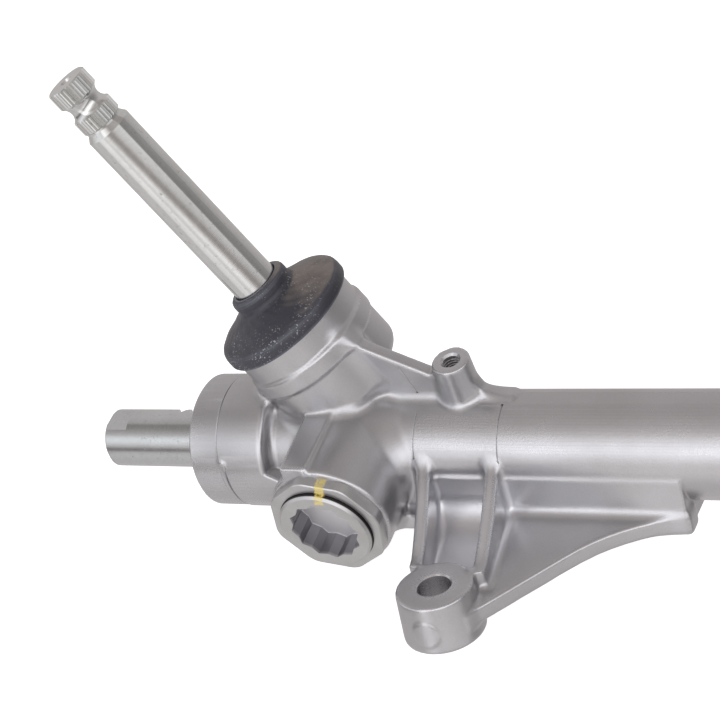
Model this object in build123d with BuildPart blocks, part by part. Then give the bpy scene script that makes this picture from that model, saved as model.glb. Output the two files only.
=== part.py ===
from build123d import *
from math import acos, atan, ceil, cos, degrees, pi, radians, sin, tan
import os

# A rack and pinion steering gear. The origin is the left mounting bolt's axis on the mounting
# plane, +X runs along the rack to the right, +Z up along the bolt and -Y from the rack towards the bolts.

# Layout
lug_to_pinion = 57.5        # left bolt to the crossing of rack and pinion, along the rack
lug_to_rack = 76.2          # bolt to rack axis, in plan
rack_height = 34.5          # rack axis above the mounting plane
lug_spacing = 330.0         # left bolt to right bolt
housing_roll = 12.0         # guide bore below the horizontal, degrees
pinion_lean = 22.0          # pinion axis from square to the rack, degrees

# Fits
running_gap = 0.05          # radial clearance of what turns or slides
seat_gap = 0.02             # radial clearance of what is pressed or screwed in

# Gear
module = 1.9
pinion_teeth = 8
helix_angle = 28.0
pressure_angle = 20.0
profile_shift = 0.4         # share of the module
pinion_addendum = 0.9       # share of the module
rack_addendum = 1.0
dedendum = 1.25
reference_depth = 6.1       # rack reference line behind the rack axis
backlash = 0.08             # off each pinion flank
toothed_length = 32.0       # of the pinion
rack_travel = 75.0          # each way from the middle

# Rack bar
bar_radius = 12.5
bar_stub = 53.5             # bar beyond each rim at mid travel
flat_across = 22.0
flat_length = 11.3
flat_angle = 77.0           # upper flat, above the horizontal, degrees
bar_chamfer = 1.0
socket_radius = 6.25        # tap drill of the M14 x 1.5 tie rod thread
socket_depth = 26.0

# Housing
tube_radius = 21.2
tube_bore = 16.5
neck_bore = 13.5
drum_radius = 28.25
drum_step = 0.25            # the boot seat is this much smaller
drum_length = 35.5
seat_length = 14.0
drum_round = 3.0
left_rim = 70.0             # left rim to the crossing
housing_length = 520.0
cone_length = 12.0
mouth_radius = 23.0         # hollow at each rim that takes the inner tie rod joint
mouth_depth = 24.0

chamber_radius = 25.5
chamber_face = 43.8         # along the guide bore from the rack axis
chamber_back = 24.0
chamber_waist = 4.0         # where the chamber's domed back begins
chamber_fillet = 6.0
pad_left = 13.7
pad_right = 2.0
pad_top = 27.4

tower_radius = 28.2
tower_band = 29.0
neck_wall = 2.9             # of the tower's neck around the lock plug
tower_foot = 19.0           # heights along the pinion axis from the crossing
band_bottom = 41.4
band_top = 49.6
tower_top = 64.0
foot_round = 5.0
chest_radius = 19.0
chest_end_radius = 14.0
chest_bottom = 34.0
chest_step = 11.0           # height of its narrow end
chest_flare = 6.0
skirt_top = 0.5             # drum's lower half runs on to the chamber, below this level

# Brackets of the housing
lug_radius = 15.0
lug_foot_radius = 15.8
lug_length = 20.5
bolt_hole = 6.5
rail_front = 21.2
rail_top = 1.0              # below the rack axis
rail_bottom = 26.0
rail_back = 12.0            # behind the rack axis
rail_start = 35.0           # left of the bolt
rail_end = 82.5             # right of the bolt
web_thickness = 7.0
web_top = 19.0
web_slope = 3.0
web_fillet = 4.0
rib_thickness = 5.5
spine_thickness = 6.0
spine_back = 6.0            # middle of the top rib behind the pinion plane
spine_run_out = 18.6        # end of the top rib, right of the bracket boss
spine_crest = (             # right of the boss, and above the tube
    (-46.4, 34.2), (-28.6, 23.6), (-10.2, 12.8), (0.0, 9.8), (7.6, 5.8), (12.1, 2.4))
bracket_boss_at = 48.4
bracket_boss_radius = 7.8
bracket_boss_top = 39.2
bracket_thread = 3.4        # tap drill of M8
bracket_depth = 18.0

# Pinion shaft, along its axis from the crossing
journal_radius = 6.0
collar_radius = 12.0
bearing_bottom = 24.0
shaft_radius = 9.75
shaft_end = 191.0
spline_radius = 8.8
spline_depth = 0.7
spline_teeth = 36
spline_bottom = 170.5
groove_middle = 180.1
groove_radius = 4.4
groove_root = 6.75

# Upper ball bearing 20 x 47 x 14, lower needle bearing 12 x 18 x 10
bearing_bore = 10.0
bearing_outer = 23.5
bearing_width = 14.0
ball_diameter = 7.94
ball_count = 8
ball_groove = 4.1
cage_half_width = 5.0
needle_radius = 1.0
needle_count = 20
cup_radius = 9.0
cup_length = 10.0
cup_top = -19.0

# Seal, lock plug and dust cover
seal_outer = 16.0
seal_width = 7.0
seal_bottom = 44.0
lock_plug_length = 14.0
lock_plug_bore = 13.0
circlip_thickness = 1.2
circlip_radius = 11.8
circlip_groove = 0.7
cover_radius = 30.2
cover_bottom = 59.7
cover_skirt = 2.3           # wall over the tower's neck
cover_wall = 2.0
cover_shoulder = 5.0        # heights above its lower edge
cover_cone = 6.8
cover_neck = 14.1
cover_top = 20.4
cover_neck_wall = 3.5       # over the shaft
cover_lip_gap = 0.25

# Rack guide and its plug
guide_radius = 18.0
guide_front = 5.0           # nearest to the rack axis
guide_back = 31.0
guide_float = 0.15
liner_thickness = 0.6
guide_pocket = 10.6
guide_pocket_floor = 19.0
spring_radius = 8.4
spring_wire = 1.5
spring_turns = 3.5
plug_radius = 19.55
plug_face = 51.3
plug_chamfer = 0.9
plug_pocket_floor = 37.5
socket_across = 26.0
socket_floor = 40.0
nut_across = 46.4
nut_height = 5.0
nut_corner = 8.0
nut_turn = 79.0             # one flat's direction, from the rack axis towards the tower
o_ring_wire = 0.9
o_ring_front = 9.0          # first ring from the guide's front
o_ring_back = 5.0           # second ring from its back

# Rack bush at the right end
bush_outer = 17.0
bush_length = 24.0
bush_land = 3.0             # between the retainer and the hollow at the rim
retainer_radius = 18.6
retainer_inner = 14.5
retainer_thickness = 2.0


# Directions and places that everything else is set out from
rack_dir = Vector(1, 0, 0)
guide_dir = Vector(0, -cos(radians(housing_roll)), -sin(radians(housing_roll)))
tower_dir = Vector(0, -sin(radians(housing_roll)), cos(radians(housing_roll)))
pinion_dir = tower_dir * cos(radians(pinion_lean)) - rack_dir * sin(radians(pinion_lean))
pinion_side = rack_dir * cos(radians(pinion_lean)) + tower_dir * sin(radians(pinion_lean))

pitch_radius = module * pinion_teeth / 2 / cos(radians(helix_angle))
centre_distance = pitch_radius + reference_depth + profile_shift * module
crossing = Vector(-lug_to_pinion, lug_to_rack, rack_height)
pinion_centre = crossing - guide_dir * centre_distance

rack_axis = Axis(crossing, rack_dir)
guide_axis = Axis(crossing, guide_dir)
pinion_axis = Axis(pinion_centre, pinion_dir)

# Half sections to revolve: local x is the radius or the length, local y the other
rack_section = Plane(crossing, x_dir=rack_dir, z_dir=(0, -1, 0))          # length, radius
guide_section = Plane(crossing, x_dir=rack_dir, z_dir=-tower_dir)         # radius, length
pinion_section = Plane(pinion_centre, x_dir=pinion_side, z_dir=guide_dir)  # radius, length


def guide_face(length):
    """Plane square to the guide bore; local x along the rack, y towards the tower."""
    return Plane(crossing + guide_dir * length, x_dir=rack_dir, z_dir=guide_dir)


def pinion_face(length):
    """Plane square to the pinion axis."""
    return Plane(pinion_centre + pinion_dir * length, x_dir=pinion_side, z_dir=pinion_dir)


def rack_face(length):
    """Plane square to the rack axis; local y up."""
    return Plane(crossing + rack_dir * length, x_dir=(0, 1, 0), z_dir=rack_dir)


def level(height):
    """Horizontal plane at a height above the rack axis, with its origin at the crossing."""
    return Plane(crossing + Vector(0, 0, height))


tower_neck = cover_radius - cover_skirt
lock_plug_radius = tower_neck - neck_wall
right_rim = housing_length - left_rim
bar_left = -(left_rim + bar_stub)
bar_right = right_rim + bar_stub
drum_in = drum_length - left_rim
right_drum_in = right_rim - drum_length + 5.5
lug_top = lug_length - rack_height
web_run = lug_to_rack - rail_front          # from the rail to the bolt, in plan
bush_right = right_rim - mouth_depth - bush_land - retainer_thickness
bush_left = bush_right - bush_length
bracket_boss_plane = Plane(
    crossing + rack_dir * bracket_boss_at - guide_dir * spine_back + tower_dir * bracket_boss_top,
    x_dir=rack_dir,
    z_dir=tower_dir,
)

# ---------------------------------------------------------------- rack housing
# Left lug with its web and rail, set out from the crossing
with BuildPart() as web:
    with BuildSketch(level(-rack_height)):
        with BuildLine():
            edge = Polyline(
                (lug_to_pinion + rail_end, rail_back),
                (lug_to_pinion - rail_start, rail_back),
                (lug_to_pinion - rail_start, -rail_front - 2),
                (lug_to_pinion - rail_start + 8, -rail_front - 2),
                (lug_to_pinion - lug_radius, -lug_to_rack),
                (lug_to_pinion + 0.9 * lug_radius, -lug_to_rack - 0.45 * lug_radius),
                (lug_to_pinion + rail_end / 2, -rail_front - 0.469 * web_run),
            )
            ThreePointArc(
                edge @ 1,
                (lug_to_pinion + 0.71 * rail_end, -rail_front - 0.178 * web_run),
                (lug_to_pinion + rail_end, -rail_front),
            )
            Line((lug_to_pinion + rail_end, -rail_front), edge @ 0)
        make_face()
    extrude(amount=rack_height)
    with BuildSketch(rack_face(lug_to_pinion - rail_start)):
        reach = lug_to_rack + 2 * lug_radius
        drop = (reach - rail_front) * tan(radians(web_slope))
        with BuildLine():
            Polyline(
                (0, -rail_top),
                (-rail_front, -rail_top),
                (-rail_front, -web_top),
                (-reach, -web_top - drop),
                (-reach, -web_top - drop - web_thickness),
                (-rail_front, -rail_bottom),
                (0.2 * tube_radius, -rail_bottom),
                (0.55 * tube_radius, -0.8 * tube_radius),
                close=True,
            )
        section = make_face()
        fillet(section.vertices().sort_by(Axis.X).filter_by(
            lambda v: abs(v.Y + web_top) < 0.01), web_fillet)
    extrude(amount=rail_start + rail_end, mode=Mode.INTERSECT)

# Two ribs from the lug up to the tube
rib_feet = (
    (lug_to_pinion - 23.0, lug_to_pinion - 14.0, lug_to_rack - 17.0),
    (lug_to_pinion + 6.7, lug_to_pinion + 13.0, lug_to_rack - 15.0),
)
ribs = []
for tube_end, lug_end, lug_side in rib_feet:
    run = Vector(lug_end - tube_end, rail_front - lug_side, 0)
    rib_plane = Plane(
        crossing + Vector(tube_end, -rail_front, 0),
        x_dir=run,
        z_dir=run.cross(Vector(0, 0, 1)),
    )
    with BuildPart() as rib:
        with BuildSketch(rib_plane):
            with BuildLine():
                ThreePointArc(
                    (-4, 6.0),
                    (0.45 * run.length, -6.5),
                    (run.length, lug_top),
                )
                Polyline(
                    (run.length, lug_top),
                    (run.length + 5, lug_top),
                    (run.length + 5, -web_top - 4),
                    (-4, -web_top - 4),
                    (-4, 6.0),
                )
            make_face()
        extrude(amount=rib_thickness / 2, both=True)
        fillet(rib.edges().filter_by(GeomType.CIRCLE), 1.5)
    ribs.append(rib.part)

with BuildPart() as mounting:
    add(web.part)
    add(ribs)
    with Locations(level(-rack_height)):
        with Locations((lug_to_pinion, -lug_to_rack)):
            Cone(lug_foot_radius, lug_radius, lug_length, align=(Align.CENTER, Align.CENTER, Align.MIN))

# Rib over the tube from the tower to the bracket boss and down to the tube
with BuildPart() as spine:
    with BuildSketch(guide_face(-spine_back)):
        with BuildLine():
            peak, *slope, foot = [(bracket_boss_at + at, tube_radius + rise) for at, rise in spine_crest]
            crest = Polyline((peak[0], tube_radius / 2), peak, *slope)
            run_out = ThreePointArc(crest @ 1, foot, (bracket_boss_at + spine_run_out, tube_radius))
            Polyline(run_out @ 1, (bracket_boss_at + spine_run_out, tube_radius / 2), crest @ 0)
        make_face()
    extrude(amount=spine_thickness / 2, both=True)
    fillet(spine.edges().filter_by(
        lambda e: abs((e @ 0 - e @ 1).dot(guide_dir)) < 0.01
        and (e @ 0.5 - crossing).dot(tower_dir) > tube_radius), 1.5)

with BuildPart() as rack_housing:
    # Tube with a drum at each end
    with BuildSketch(rack_section):
        with BuildLine():
            Polyline(
                (-left_rim, 0),
                (-left_rim, drum_radius - drum_step),
                (-left_rim + seat_length, drum_radius - drum_step),
                (-left_rim + seat_length, drum_radius),
                (drum_in, drum_radius),
                (drum_in, tube_radius),
                (right_drum_in - cone_length, tube_radius),
                (right_drum_in, drum_radius),
                (right_rim - seat_length, drum_radius),
                (right_rim - seat_length, drum_radius - drum_step),
                (right_rim, drum_radius - drum_step),
                (right_rim, 0),
                close=True,
            )
        outline = make_face()
        fillet(outline.vertices().filter_by(
            lambda v: abs(v.X - drum_in) < 0.01 and v.Y > tube_radius + 1), drum_round)
    revolve(axis=rack_axis)
    # Guide chamber with a domed back
    with BuildSketch(guide_section):
        with BuildLine():
            Polyline((0, chamber_face), (chamber_radius, chamber_face), (chamber_radius, chamber_waist))
            EllipticalCenterArc(
                (0, chamber_waist), chamber_radius, chamber_back + chamber_waist,
                start_angle=0, arc_size=-90)
            Line((0, -chamber_back), (0, chamber_face))
        make_face()
    revolve(axis=guide_axis)
    fillet(rack_housing.edges().filter_by(GeomType.BSPLINE), chamber_fillet)
    # The drum's lower half runs on to the chamber
    with BuildSketch(rack_face(drum_in - drum_round - 0.5)):
        Circle(drum_radius)
        with Locations((0, skirt_top)):
            Rectangle(3 * drum_radius, 2 * drum_radius, align=(Align.CENTER, Align.MIN), mode=Mode.SUBTRACT)
    extrude(amount=drum_round + 0.5 - drum_in - pad_right)
    # Pinion chest, closed at its lower end
    with BuildSketch(pinion_section):
        with BuildLine():
            Polyline(
                (0, -chest_bottom),
                (chest_end_radius, -chest_bottom),
                (chest_end_radius, -chest_bottom + chest_step),
                (chest_radius, -chest_bottom + chest_step + chest_flare),
                (chest_radius, tower_foot + 1),
                (0, tower_foot + 1),
                close=True,
            )
        outline = make_face()
        fillet(outline.vertices().filter_by(
            lambda v: v.X > 1 and abs(v.Y + chest_bottom) < 0.01), 4)
    revolve(axis=pinion_axis)
    # Tower
    with BuildSketch(pinion_section):
        with BuildLine():
            Polyline(
                (0, tower_foot),
                (tower_radius, tower_foot),
                (tower_radius, band_bottom),
                (tower_band, band_bottom + 0.8),
                (tower_band, band_top - 1.1),
                (tower_neck, band_top),
                (tower_neck, tower_top),
                (0, tower_top),
                close=True,
            )
        outline = make_face()
        fillet(outline.vertices().filter_by(
            lambda v: v.X > 1 and abs(v.Y - tower_foot) < 0.01), foot_round)
    revolve(axis=pinion_axis)
    # Pad on the chamber's shoulder
    with BuildSketch(guide_face(0)):
        with Locations((-(pad_left + pad_right) / 2, pad_top / 2)):
            pad = Rectangle(pad_left - pad_right, pad_top)
        fillet(pad.vertices().sort_by(Axis.Y)[-2:], 2)
    extrude(amount=chamber_face)
    # Bracket boss and its rib
    add(spine.part)
    with BuildSketch(bracket_boss_plane):
        Circle(bracket_boss_radius)
    extrude(amount=tube_radius / 2 - bracket_boss_top, taper=-1.5)
    # Brackets at both ends
    add(mounting.part)
    mirror(mounting.part, about=Plane((lug_spacing / 2, 0, 0), x_dir=(0, 1, 0), z_dir=(1, 0, 0)))

    # Bore along the rack: hollow, neck, tube, bush seat, retainer groove, hollow
    with BuildSketch(rack_section):
        with BuildLine():
            Polyline(
                (-left_rim - 1, 0),
                (-left_rim - 1, mouth_radius),
                (-left_rim + mouth_depth, mouth_radius),
                (-left_rim + mouth_depth, neck_bore),
                (chamber_radius, neck_bore),
                (chamber_radius + 3, tube_bore),
                (bush_left, tube_bore),
                (bush_left, bush_outer + seat_gap),
                (bush_right, bush_outer + seat_gap),
                (bush_right, retainer_radius + seat_gap),
                (bush_right + retainer_thickness, retainer_radius + seat_gap),
                (bush_right + retainer_thickness, bush_outer + seat_gap),
                (right_rim - mouth_depth, bush_outer + seat_gap),
                (right_rim - mouth_depth, mouth_radius),
                (right_rim + 1, mouth_radius),
                (right_rim + 1, 0),
                close=True,
            )
        make_face()
    revolve(axis=rack_axis, mode=Mode.SUBTRACT)
    # Guide bore and the plug's thread
    with BuildSketch(guide_section):
        with BuildLine():
            Polyline(
                (0, 0),
                (guide_radius + running_gap, 0),
                (guide_radius + running_gap, guide_back),
                (plug_radius + seat_gap, guide_back + 1.5),
                (plug_radius + seat_gap, chamber_face + 1),
                (0, chamber_face + 1),
                close=True,
            )
        make_face()
    revolve(axis=guide_axis, mode=Mode.SUBTRACT)
    # Pinion bore: needle seat, chest, bearing seat, lock plug's thread
    with BuildSketch(pinion_section):
        with BuildLine():
            Polyline(
                (0, cup_top - cup_length - 2),
                (cup_radius + seat_gap, cup_top - cup_length - 2),
                (cup_radius + seat_gap, cup_top + 1),
                (collar_radius + 0.6, cup_top + 1),
                (collar_radius + 0.6, bearing_bottom),
                (bearing_outer + seat_gap, bearing_bottom),
                (bearing_outer + seat_gap, bearing_bottom + bearing_width),
                (lock_plug_radius + seat_gap, bearing_bottom + bearing_width),
                (lock_plug_radius + seat_gap, tower_top + 1),
                (0, tower_top + 1),
                close=True,
            )
        make_face()
    revolve(axis=pinion_axis, mode=Mode.SUBTRACT)
    # Mounting bolts and the bracket's tapped hole
    with Locations(level(-rack_height)):
        with Locations((lug_to_pinion, -lug_to_rack), (lug_to_pinion + lug_spacing, -lug_to_rack)):
            Cylinder(bolt_hole, 3 * lug_length, mode=Mode.SUBTRACT)
    with BuildSketch(bracket_boss_plane):
        Circle(bracket_thread)
    extrude(amount=-bracket_depth, mode=Mode.SUBTRACT)

# ---------------------------------------------------------------- rack bar
tooth_lean = helix_angle - pinion_lean
rack_pitch = pi * module / cos(radians(tooth_lean))
gap_count = 2 * ceil((rack_travel + toothed_length / 2) / rack_pitch) - 1
tooth_dir = tower_dir * cos(radians(tooth_lean)) + rack_dir * sin(radians(tooth_lean))
tooth_side = rack_dir * cos(radians(tooth_lean)) - tower_dir * sin(radians(tooth_lean))
tooth_section = Plane(crossing, x_dir=tooth_side, z_dir=tooth_dir)      # local y points to the pinion
rack_tip = reference_depth + rack_addendum * module
rack_root = reference_depth - dedendum * module
gap_root = pi * module / 4 - dedendum * module * tan(radians(pressure_angle))
gap_mouth = gap_root + (bar_radius - rack_root) * tan(radians(pressure_angle))
flat_half_length = gap_count * rack_pitch / 2 + 4

with BuildPart() as rack_bar:
    with BuildSketch(rack_face(bar_left)):
        Circle(bar_radius)
    extrude(amount=bar_right - bar_left)
    chamfer(rack_bar.edges().filter_by(GeomType.CIRCLE), bar_chamfer)
    # Back face along the teeth, then the gaps between them
    with BuildSketch(guide_face(-rack_tip)):
        Rectangle(2 * flat_half_length, 2 * bar_radius)
    extrude(amount=-bar_radius, mode=Mode.SUBTRACT)
    with BuildSketch(tooth_section):
        with GridLocations(pi * module, 1, gap_count, 1):
            Polygon(
                (-gap_root, rack_root),
                (gap_root, rack_root),
                (gap_mouth, bar_radius),
                (-gap_mouth, bar_radius),
                align=None,
            )
    extrude(amount=2 * bar_radius, both=True, mode=Mode.SUBTRACT)
    # Wrench flats and tie rod sockets at both ends
    for end, inward in ((bar_left, 1), (bar_right, -1)):
        with BuildSketch(rack_face(end)):
            with Locations(Rotation(0, 0, 90 - flat_angle)):
                with GridLocations(1, flat_across + bar_radius, 1, 2):
                    Rectangle(3 * bar_radius, bar_radius)
        extrude(amount=inward * flat_length, mode=Mode.SUBTRACT)
        with BuildSketch(rack_face(end)):
            Circle(socket_radius)
        extrude(amount=inward * socket_depth, mode=Mode.SUBTRACT)

# ---------------------------------------------------------------- pinion shaft
# Transverse section: involute flanks down to the base circle, radial below it
side_pressure = atan(tan(radians(pressure_angle)) / cos(radians(helix_angle)))
base_radius = pitch_radius * cos(side_pressure)
tip_radius = pitch_radius + (profile_shift + pinion_addendum) * module
root_radius = pitch_radius + (profile_shift - dedendum) * module
half_tooth = (
    (pi / 2 + 2 * profile_shift * tan(radians(pressure_angle))) * module / cos(radians(helix_angle)) / 2
    - backlash
) / pitch_radius


def flank_point(radius, side):
    """Point of a tooth's flank at a radius; the half angle shrinks by the involute of the radius."""
    pressure = acos(min(base_radius / radius, 1))
    half_angle = half_tooth + tan(side_pressure) - side_pressure - tan(pressure) + pressure
    return (radius * cos(side * half_angle), radius * sin(side * half_angle))


flank_radii = [base_radius + (tip_radius - base_radius) * share for share in (0.0, 0.12, 0.4, 0.7, 1.0)]
with BuildSketch() as tooth_outline:
    Circle(root_radius)
    with BuildSketch(mode=Mode.PRIVATE) as tooth:
        with BuildLine():
            lower = Spline([flank_point(radius, -1) for radius in flank_radii])
            upper = Spline([flank_point(radius, 1) for radius in flank_radii])
            RadiusArc(lower @ 1, upper @ 1, -tip_radius)
            Polyline(lower @ 0, (0, 0), upper @ 0)
        make_face()
    for index in range(pinion_teeth):
        add(tooth.sketch.rotate(Axis.Z, index * 360 / pinion_teeth))

# A tooth points at the rack at the crossing; the section turns as it climbs the axis
twist = degrees(toothed_length * tan(radians(helix_angle)) / pitch_radius)
toothed_part = Solid.extrude_linear_with_rotation(
    tooth_outline.sketch.rotate(Axis.Z, 90 + 180 - twist / 2).faces()[0].outer_wire(),
    (0, 0, 0),
    (0, 0, toothed_length),
    twist,
)

circlip_bottom = bearing_bottom + bearing_width
seal_top = seal_bottom + seal_width
shoulder = spline_bottom - 1.2
with BuildPart() as pinion_shaft:
    add(pinion_face(-toothed_length / 2) * toothed_part)
    with BuildSketch(pinion_section):
        with BuildLine():
            Polyline(
                (0, cup_top - cup_length - 1),
                (journal_radius - 0.6, cup_top - cup_length - 1),
                (journal_radius, cup_top - cup_length - 0.4),
                (journal_radius, cup_top + 1),
                (root_radius - 0.1, cup_top + 2),
                (root_radius - 0.1, toothed_length / 2 + 1),
                (collar_radius, bearing_bottom - 4.5),
                (collar_radius, bearing_bottom),
                (bearing_bore, bearing_bottom),
                (bearing_bore, circlip_bottom),
                (bearing_bore - circlip_groove, circlip_bottom),
                (bearing_bore - circlip_groove, circlip_bottom + circlip_thickness + seat_gap),
                (bearing_bore, circlip_bottom + circlip_thickness + seat_gap),
                (bearing_bore, seal_top + 1),
                (shaft_radius, seal_top + 1.25),
                (shaft_radius, shoulder - 2.4),
                (spline_radius - spline_depth, shoulder),
                (spline_radius - spline_depth, spline_bottom - 0.4),
                (spline_radius, spline_bottom + 0.3),
                (spline_radius, shaft_end - 0.6),
                (spline_radius - 0.6, shaft_end),
                (0, shaft_end),
                close=True,
            )
        make_face()
    revolve(axis=pinion_axis)
    # Groove for the clamp bolt between the two serrated bands
    with BuildSketch(pinion_section):
        with Locations((groove_root + groove_radius, groove_middle)):
            Circle(groove_radius)
    revolve(axis=pinion_axis, mode=Mode.SUBTRACT)
    # Serrations
    serration_mouth = 1.3 * spline_radius * sin(pi / spline_teeth)
    with BuildSketch(pinion_face(spline_bottom - 0.3)):
        with PolarLocations(spline_radius - spline_depth, spline_teeth):
            Polygon(
                (0, 0),
                (2 * spline_depth, serration_mouth),
                (2 * spline_depth, -serration_mouth),
                align=None,
            )
    extrude(amount=shaft_end, mode=Mode.SUBTRACT)
    # Centre hole
    with BuildSketch(pinion_section):
        with BuildLine():
            Polyline(
                (0, shaft_end),
                (2.9, shaft_end),
                (1.25, shaft_end - 2.9),
                (1.25, shaft_end - 5.5),
                (0, shaft_end - 6.2),
                close=True,
            )
        make_face()
    revolve(axis=pinion_axis, mode=Mode.SUBTRACT)

# ---------------------------------------------------------------- upper ball bearing
ball_circle = (bearing_bore + bearing_outer) / 2
bearing_middle = bearing_bottom + bearing_width / 2
land = 0.36 * ball_diameter      # from the ball circle to either race's shoulder

with BuildPart() as upper_bearing_inner_race:
    with BuildSketch(pinion_section):
        with Locations(((bearing_bore + seat_gap + ball_circle - land) / 2, bearing_middle)):
            ring = Rectangle(ball_circle - land - bearing_bore - seat_gap, bearing_width - 2 * seat_gap)
        chamfer(ring.vertices(), 0.5)
        with Locations((ball_circle, bearing_middle)):
            Circle(ball_groove, mode=Mode.SUBTRACT)
    revolve(axis=pinion_axis)

with BuildPart() as upper_bearing_outer_race:
    with BuildSketch(pinion_section):
        with Locations(((ball_circle + land + bearing_outer) / 2, bearing_middle)):
            ring = Rectangle(bearing_outer - ball_circle - land, bearing_width - 2 * seat_gap)
        chamfer(ring.vertices(), 0.5)
        with Locations((ball_circle, bearing_middle)):
            Circle(ball_groove, mode=Mode.SUBTRACT)
    revolve(axis=pinion_axis)

with BuildPart() as upper_bearing_balls:
    with Locations(pinion_face(bearing_middle)):
        with PolarLocations(ball_circle, ball_count):
            Sphere(ball_diameter / 2)

with BuildPart() as upper_bearing_cage:
    with BuildSketch(pinion_section):
        with Locations((ball_circle, bearing_middle)):
            Rectangle(2 * land - 0.7, 2 * cage_half_width)
    revolve(axis=pinion_axis)
    with Locations(pinion_face(bearing_middle)):
        with PolarLocations(ball_circle, ball_count):
            Cylinder(ball_groove, 4 * land, rotation=(0, 90, 0), mode=Mode.SUBTRACT)

# Open ring in its groove above the inner race
with BuildPart() as bearing_circlip:
    with BuildSketch(pinion_face(circlip_bottom)):
        Circle(circlip_radius)
        Circle(bearing_bore - circlip_groove + seat_gap, mode=Mode.SUBTRACT)
        with Locations((circlip_radius, 0)):
            Rectangle(circlip_radius, 4, mode=Mode.SUBTRACT)
    extrude(amount=circlip_thickness)

# ---------------------------------------------------------------- lock plug, seal and dust cover
with BuildPart() as pinion_lock_plug:
    with BuildSketch(pinion_section):
        with BuildLine():
            Polyline(
                (lock_plug_bore, circlip_bottom + seat_gap),
                (lock_plug_radius - 0.8, circlip_bottom + seat_gap),
                (lock_plug_radius, circlip_bottom + 0.8),
                (lock_plug_radius, circlip_bottom + lock_plug_length),
                (seal_outer + seat_gap, circlip_bottom + lock_plug_length),
                (seal_outer + seat_gap, seal_bottom),
                (lock_plug_bore, seal_bottom),
                close=True,
            )
        make_face()
    revolve(axis=pinion_axis)
    # Six slots for the pin wrench
    with Locations(pinion_face(circlip_bottom + lock_plug_length)):
        with PolarLocations((seal_outer + lock_plug_radius) / 2, 6):
            Cylinder(2, 8, mode=Mode.SUBTRACT)

seal_lip = shaft_radius + 0.25 + running_gap
with BuildPart() as pinion_oil_seal:
    with BuildSketch(pinion_section):
        with BuildLine():
            Polyline(
                (seal_outer, seal_bottom + seat_gap),
                (seal_outer, seal_top),
                (seal_lip + 1.2, seal_top),
                (seal_lip + 0.3, seal_top - 1.2),
                (seal_lip + 1.2, seal_top - 2.2),
                (seal_lip, seal_top - 4.5),
                (seal_lip + 1.0, seal_bottom + 0.8),
                (seal_lip + 2.4, seal_bottom + 1.6),
                (seal_lip + 1.7, seal_top - 4.2),
                (seal_lip + 2.6, seal_top - 2.2),
                (seal_outer - 2, seal_top - 2.2),
                (seal_outer - 2, seal_bottom + seat_gap),
                close=True,
            )
        make_face()
    revolve(axis=pinion_axis)

garter_wire = 0.7
with BuildPart() as pinion_seal_spring:
    with Locations(pinion_face(seal_top - 4.0)):
        Torus(seal_lip + 1.75 + garter_wire + 0.1, garter_wire)

cover_neck_radius = shaft_radius + cover_neck_wall
with BuildPart() as pinion_dust_cover:
    with BuildSketch(pinion_section):
        with BuildLine():
            outside = Polyline(
                (cover_radius - 0.4, cover_bottom),
                (cover_radius, cover_bottom + 0.6),
                (cover_radius - 0.15, cover_bottom + cover_shoulder),
            )
            shoulder_arc = ThreePointArc(
                outside @ 1,
                (cover_radius - 1.2, cover_bottom + (cover_shoulder + cover_cone) / 2),
                (cover_radius - 2.8, cover_bottom + cover_cone),
            )
            cone = Line(shoulder_arc @ 1, (cover_neck_radius + 1.5, cover_bottom + cover_neck - 1.0))
            neck = ThreePointArc(
                cone @ 1,
                (cover_neck_radius + 0.5, cover_bottom + cover_neck),
                (cover_neck_radius, cover_bottom + cover_neck + 1.5),
            )
            lip = Polyline(neck @ 1, (cover_neck_radius, cover_bottom + cover_top - 2.0))
            crown = ThreePointArc(
                lip @ 1,
                (cover_neck_radius - 0.8, cover_bottom + cover_top - 0.6),
                (cover_neck_radius - 2.6, cover_bottom + cover_top),
            )
            Polyline(
                crown @ 1,
                (shaft_radius + cover_lip_gap + 0.3, cover_bottom + cover_top),
                (shaft_radius + cover_lip_gap, cover_bottom + cover_top - 0.6),
                (shaft_radius + cover_lip_gap, cover_bottom + cover_top - 3.2),
                (cover_neck_radius - cover_wall, cover_bottom + cover_neck + 0.8),
                (cover_neck_radius - 0.8, cover_bottom + cover_neck - cover_wall),
                (cover_radius - cover_wall - 1.9, tower_top + 0.9),
                (cover_radius - cover_wall - 1.4, tower_top + 0.3),
                (tower_neck + seat_gap, tower_top + 0.3),
                (tower_neck + seat_gap, cover_bottom),
                outside @ 0,
            )
        make_face()
    revolve(axis=pinion_axis)

# ---------------------------------------------------------------- lower needle bearing
cup_bore = journal_radius + 2 * needle_radius + running_gap
with BuildPart() as lower_bearing_cup:
    with BuildSketch(pinion_section):
        with BuildLine():
            Polyline(
                (cup_bore, cup_top - 0.8),
                (journal_radius + 0.4, cup_top - 0.8),
                (journal_radius + 0.4, cup_top),
                (cup_radius, cup_top),
                (cup_radius, cup_top - cup_length),
                (journal_radius + 0.4, cup_top - cup_length),
                (journal_radius + 0.4, cup_top - cup_length + 0.8),
                (cup_bore, cup_top - cup_length + 0.8),
                close=True,
            )
        make_face()
    revolve(axis=pinion_axis)

with BuildPart() as lower_bearing_needles:
    with Locations(pinion_face(cup_top - cup_length / 2)):
        with PolarLocations(journal_radius + needle_radius + running_gap / 2, needle_count):
            Cylinder(needle_radius, cup_length - 2)

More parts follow.
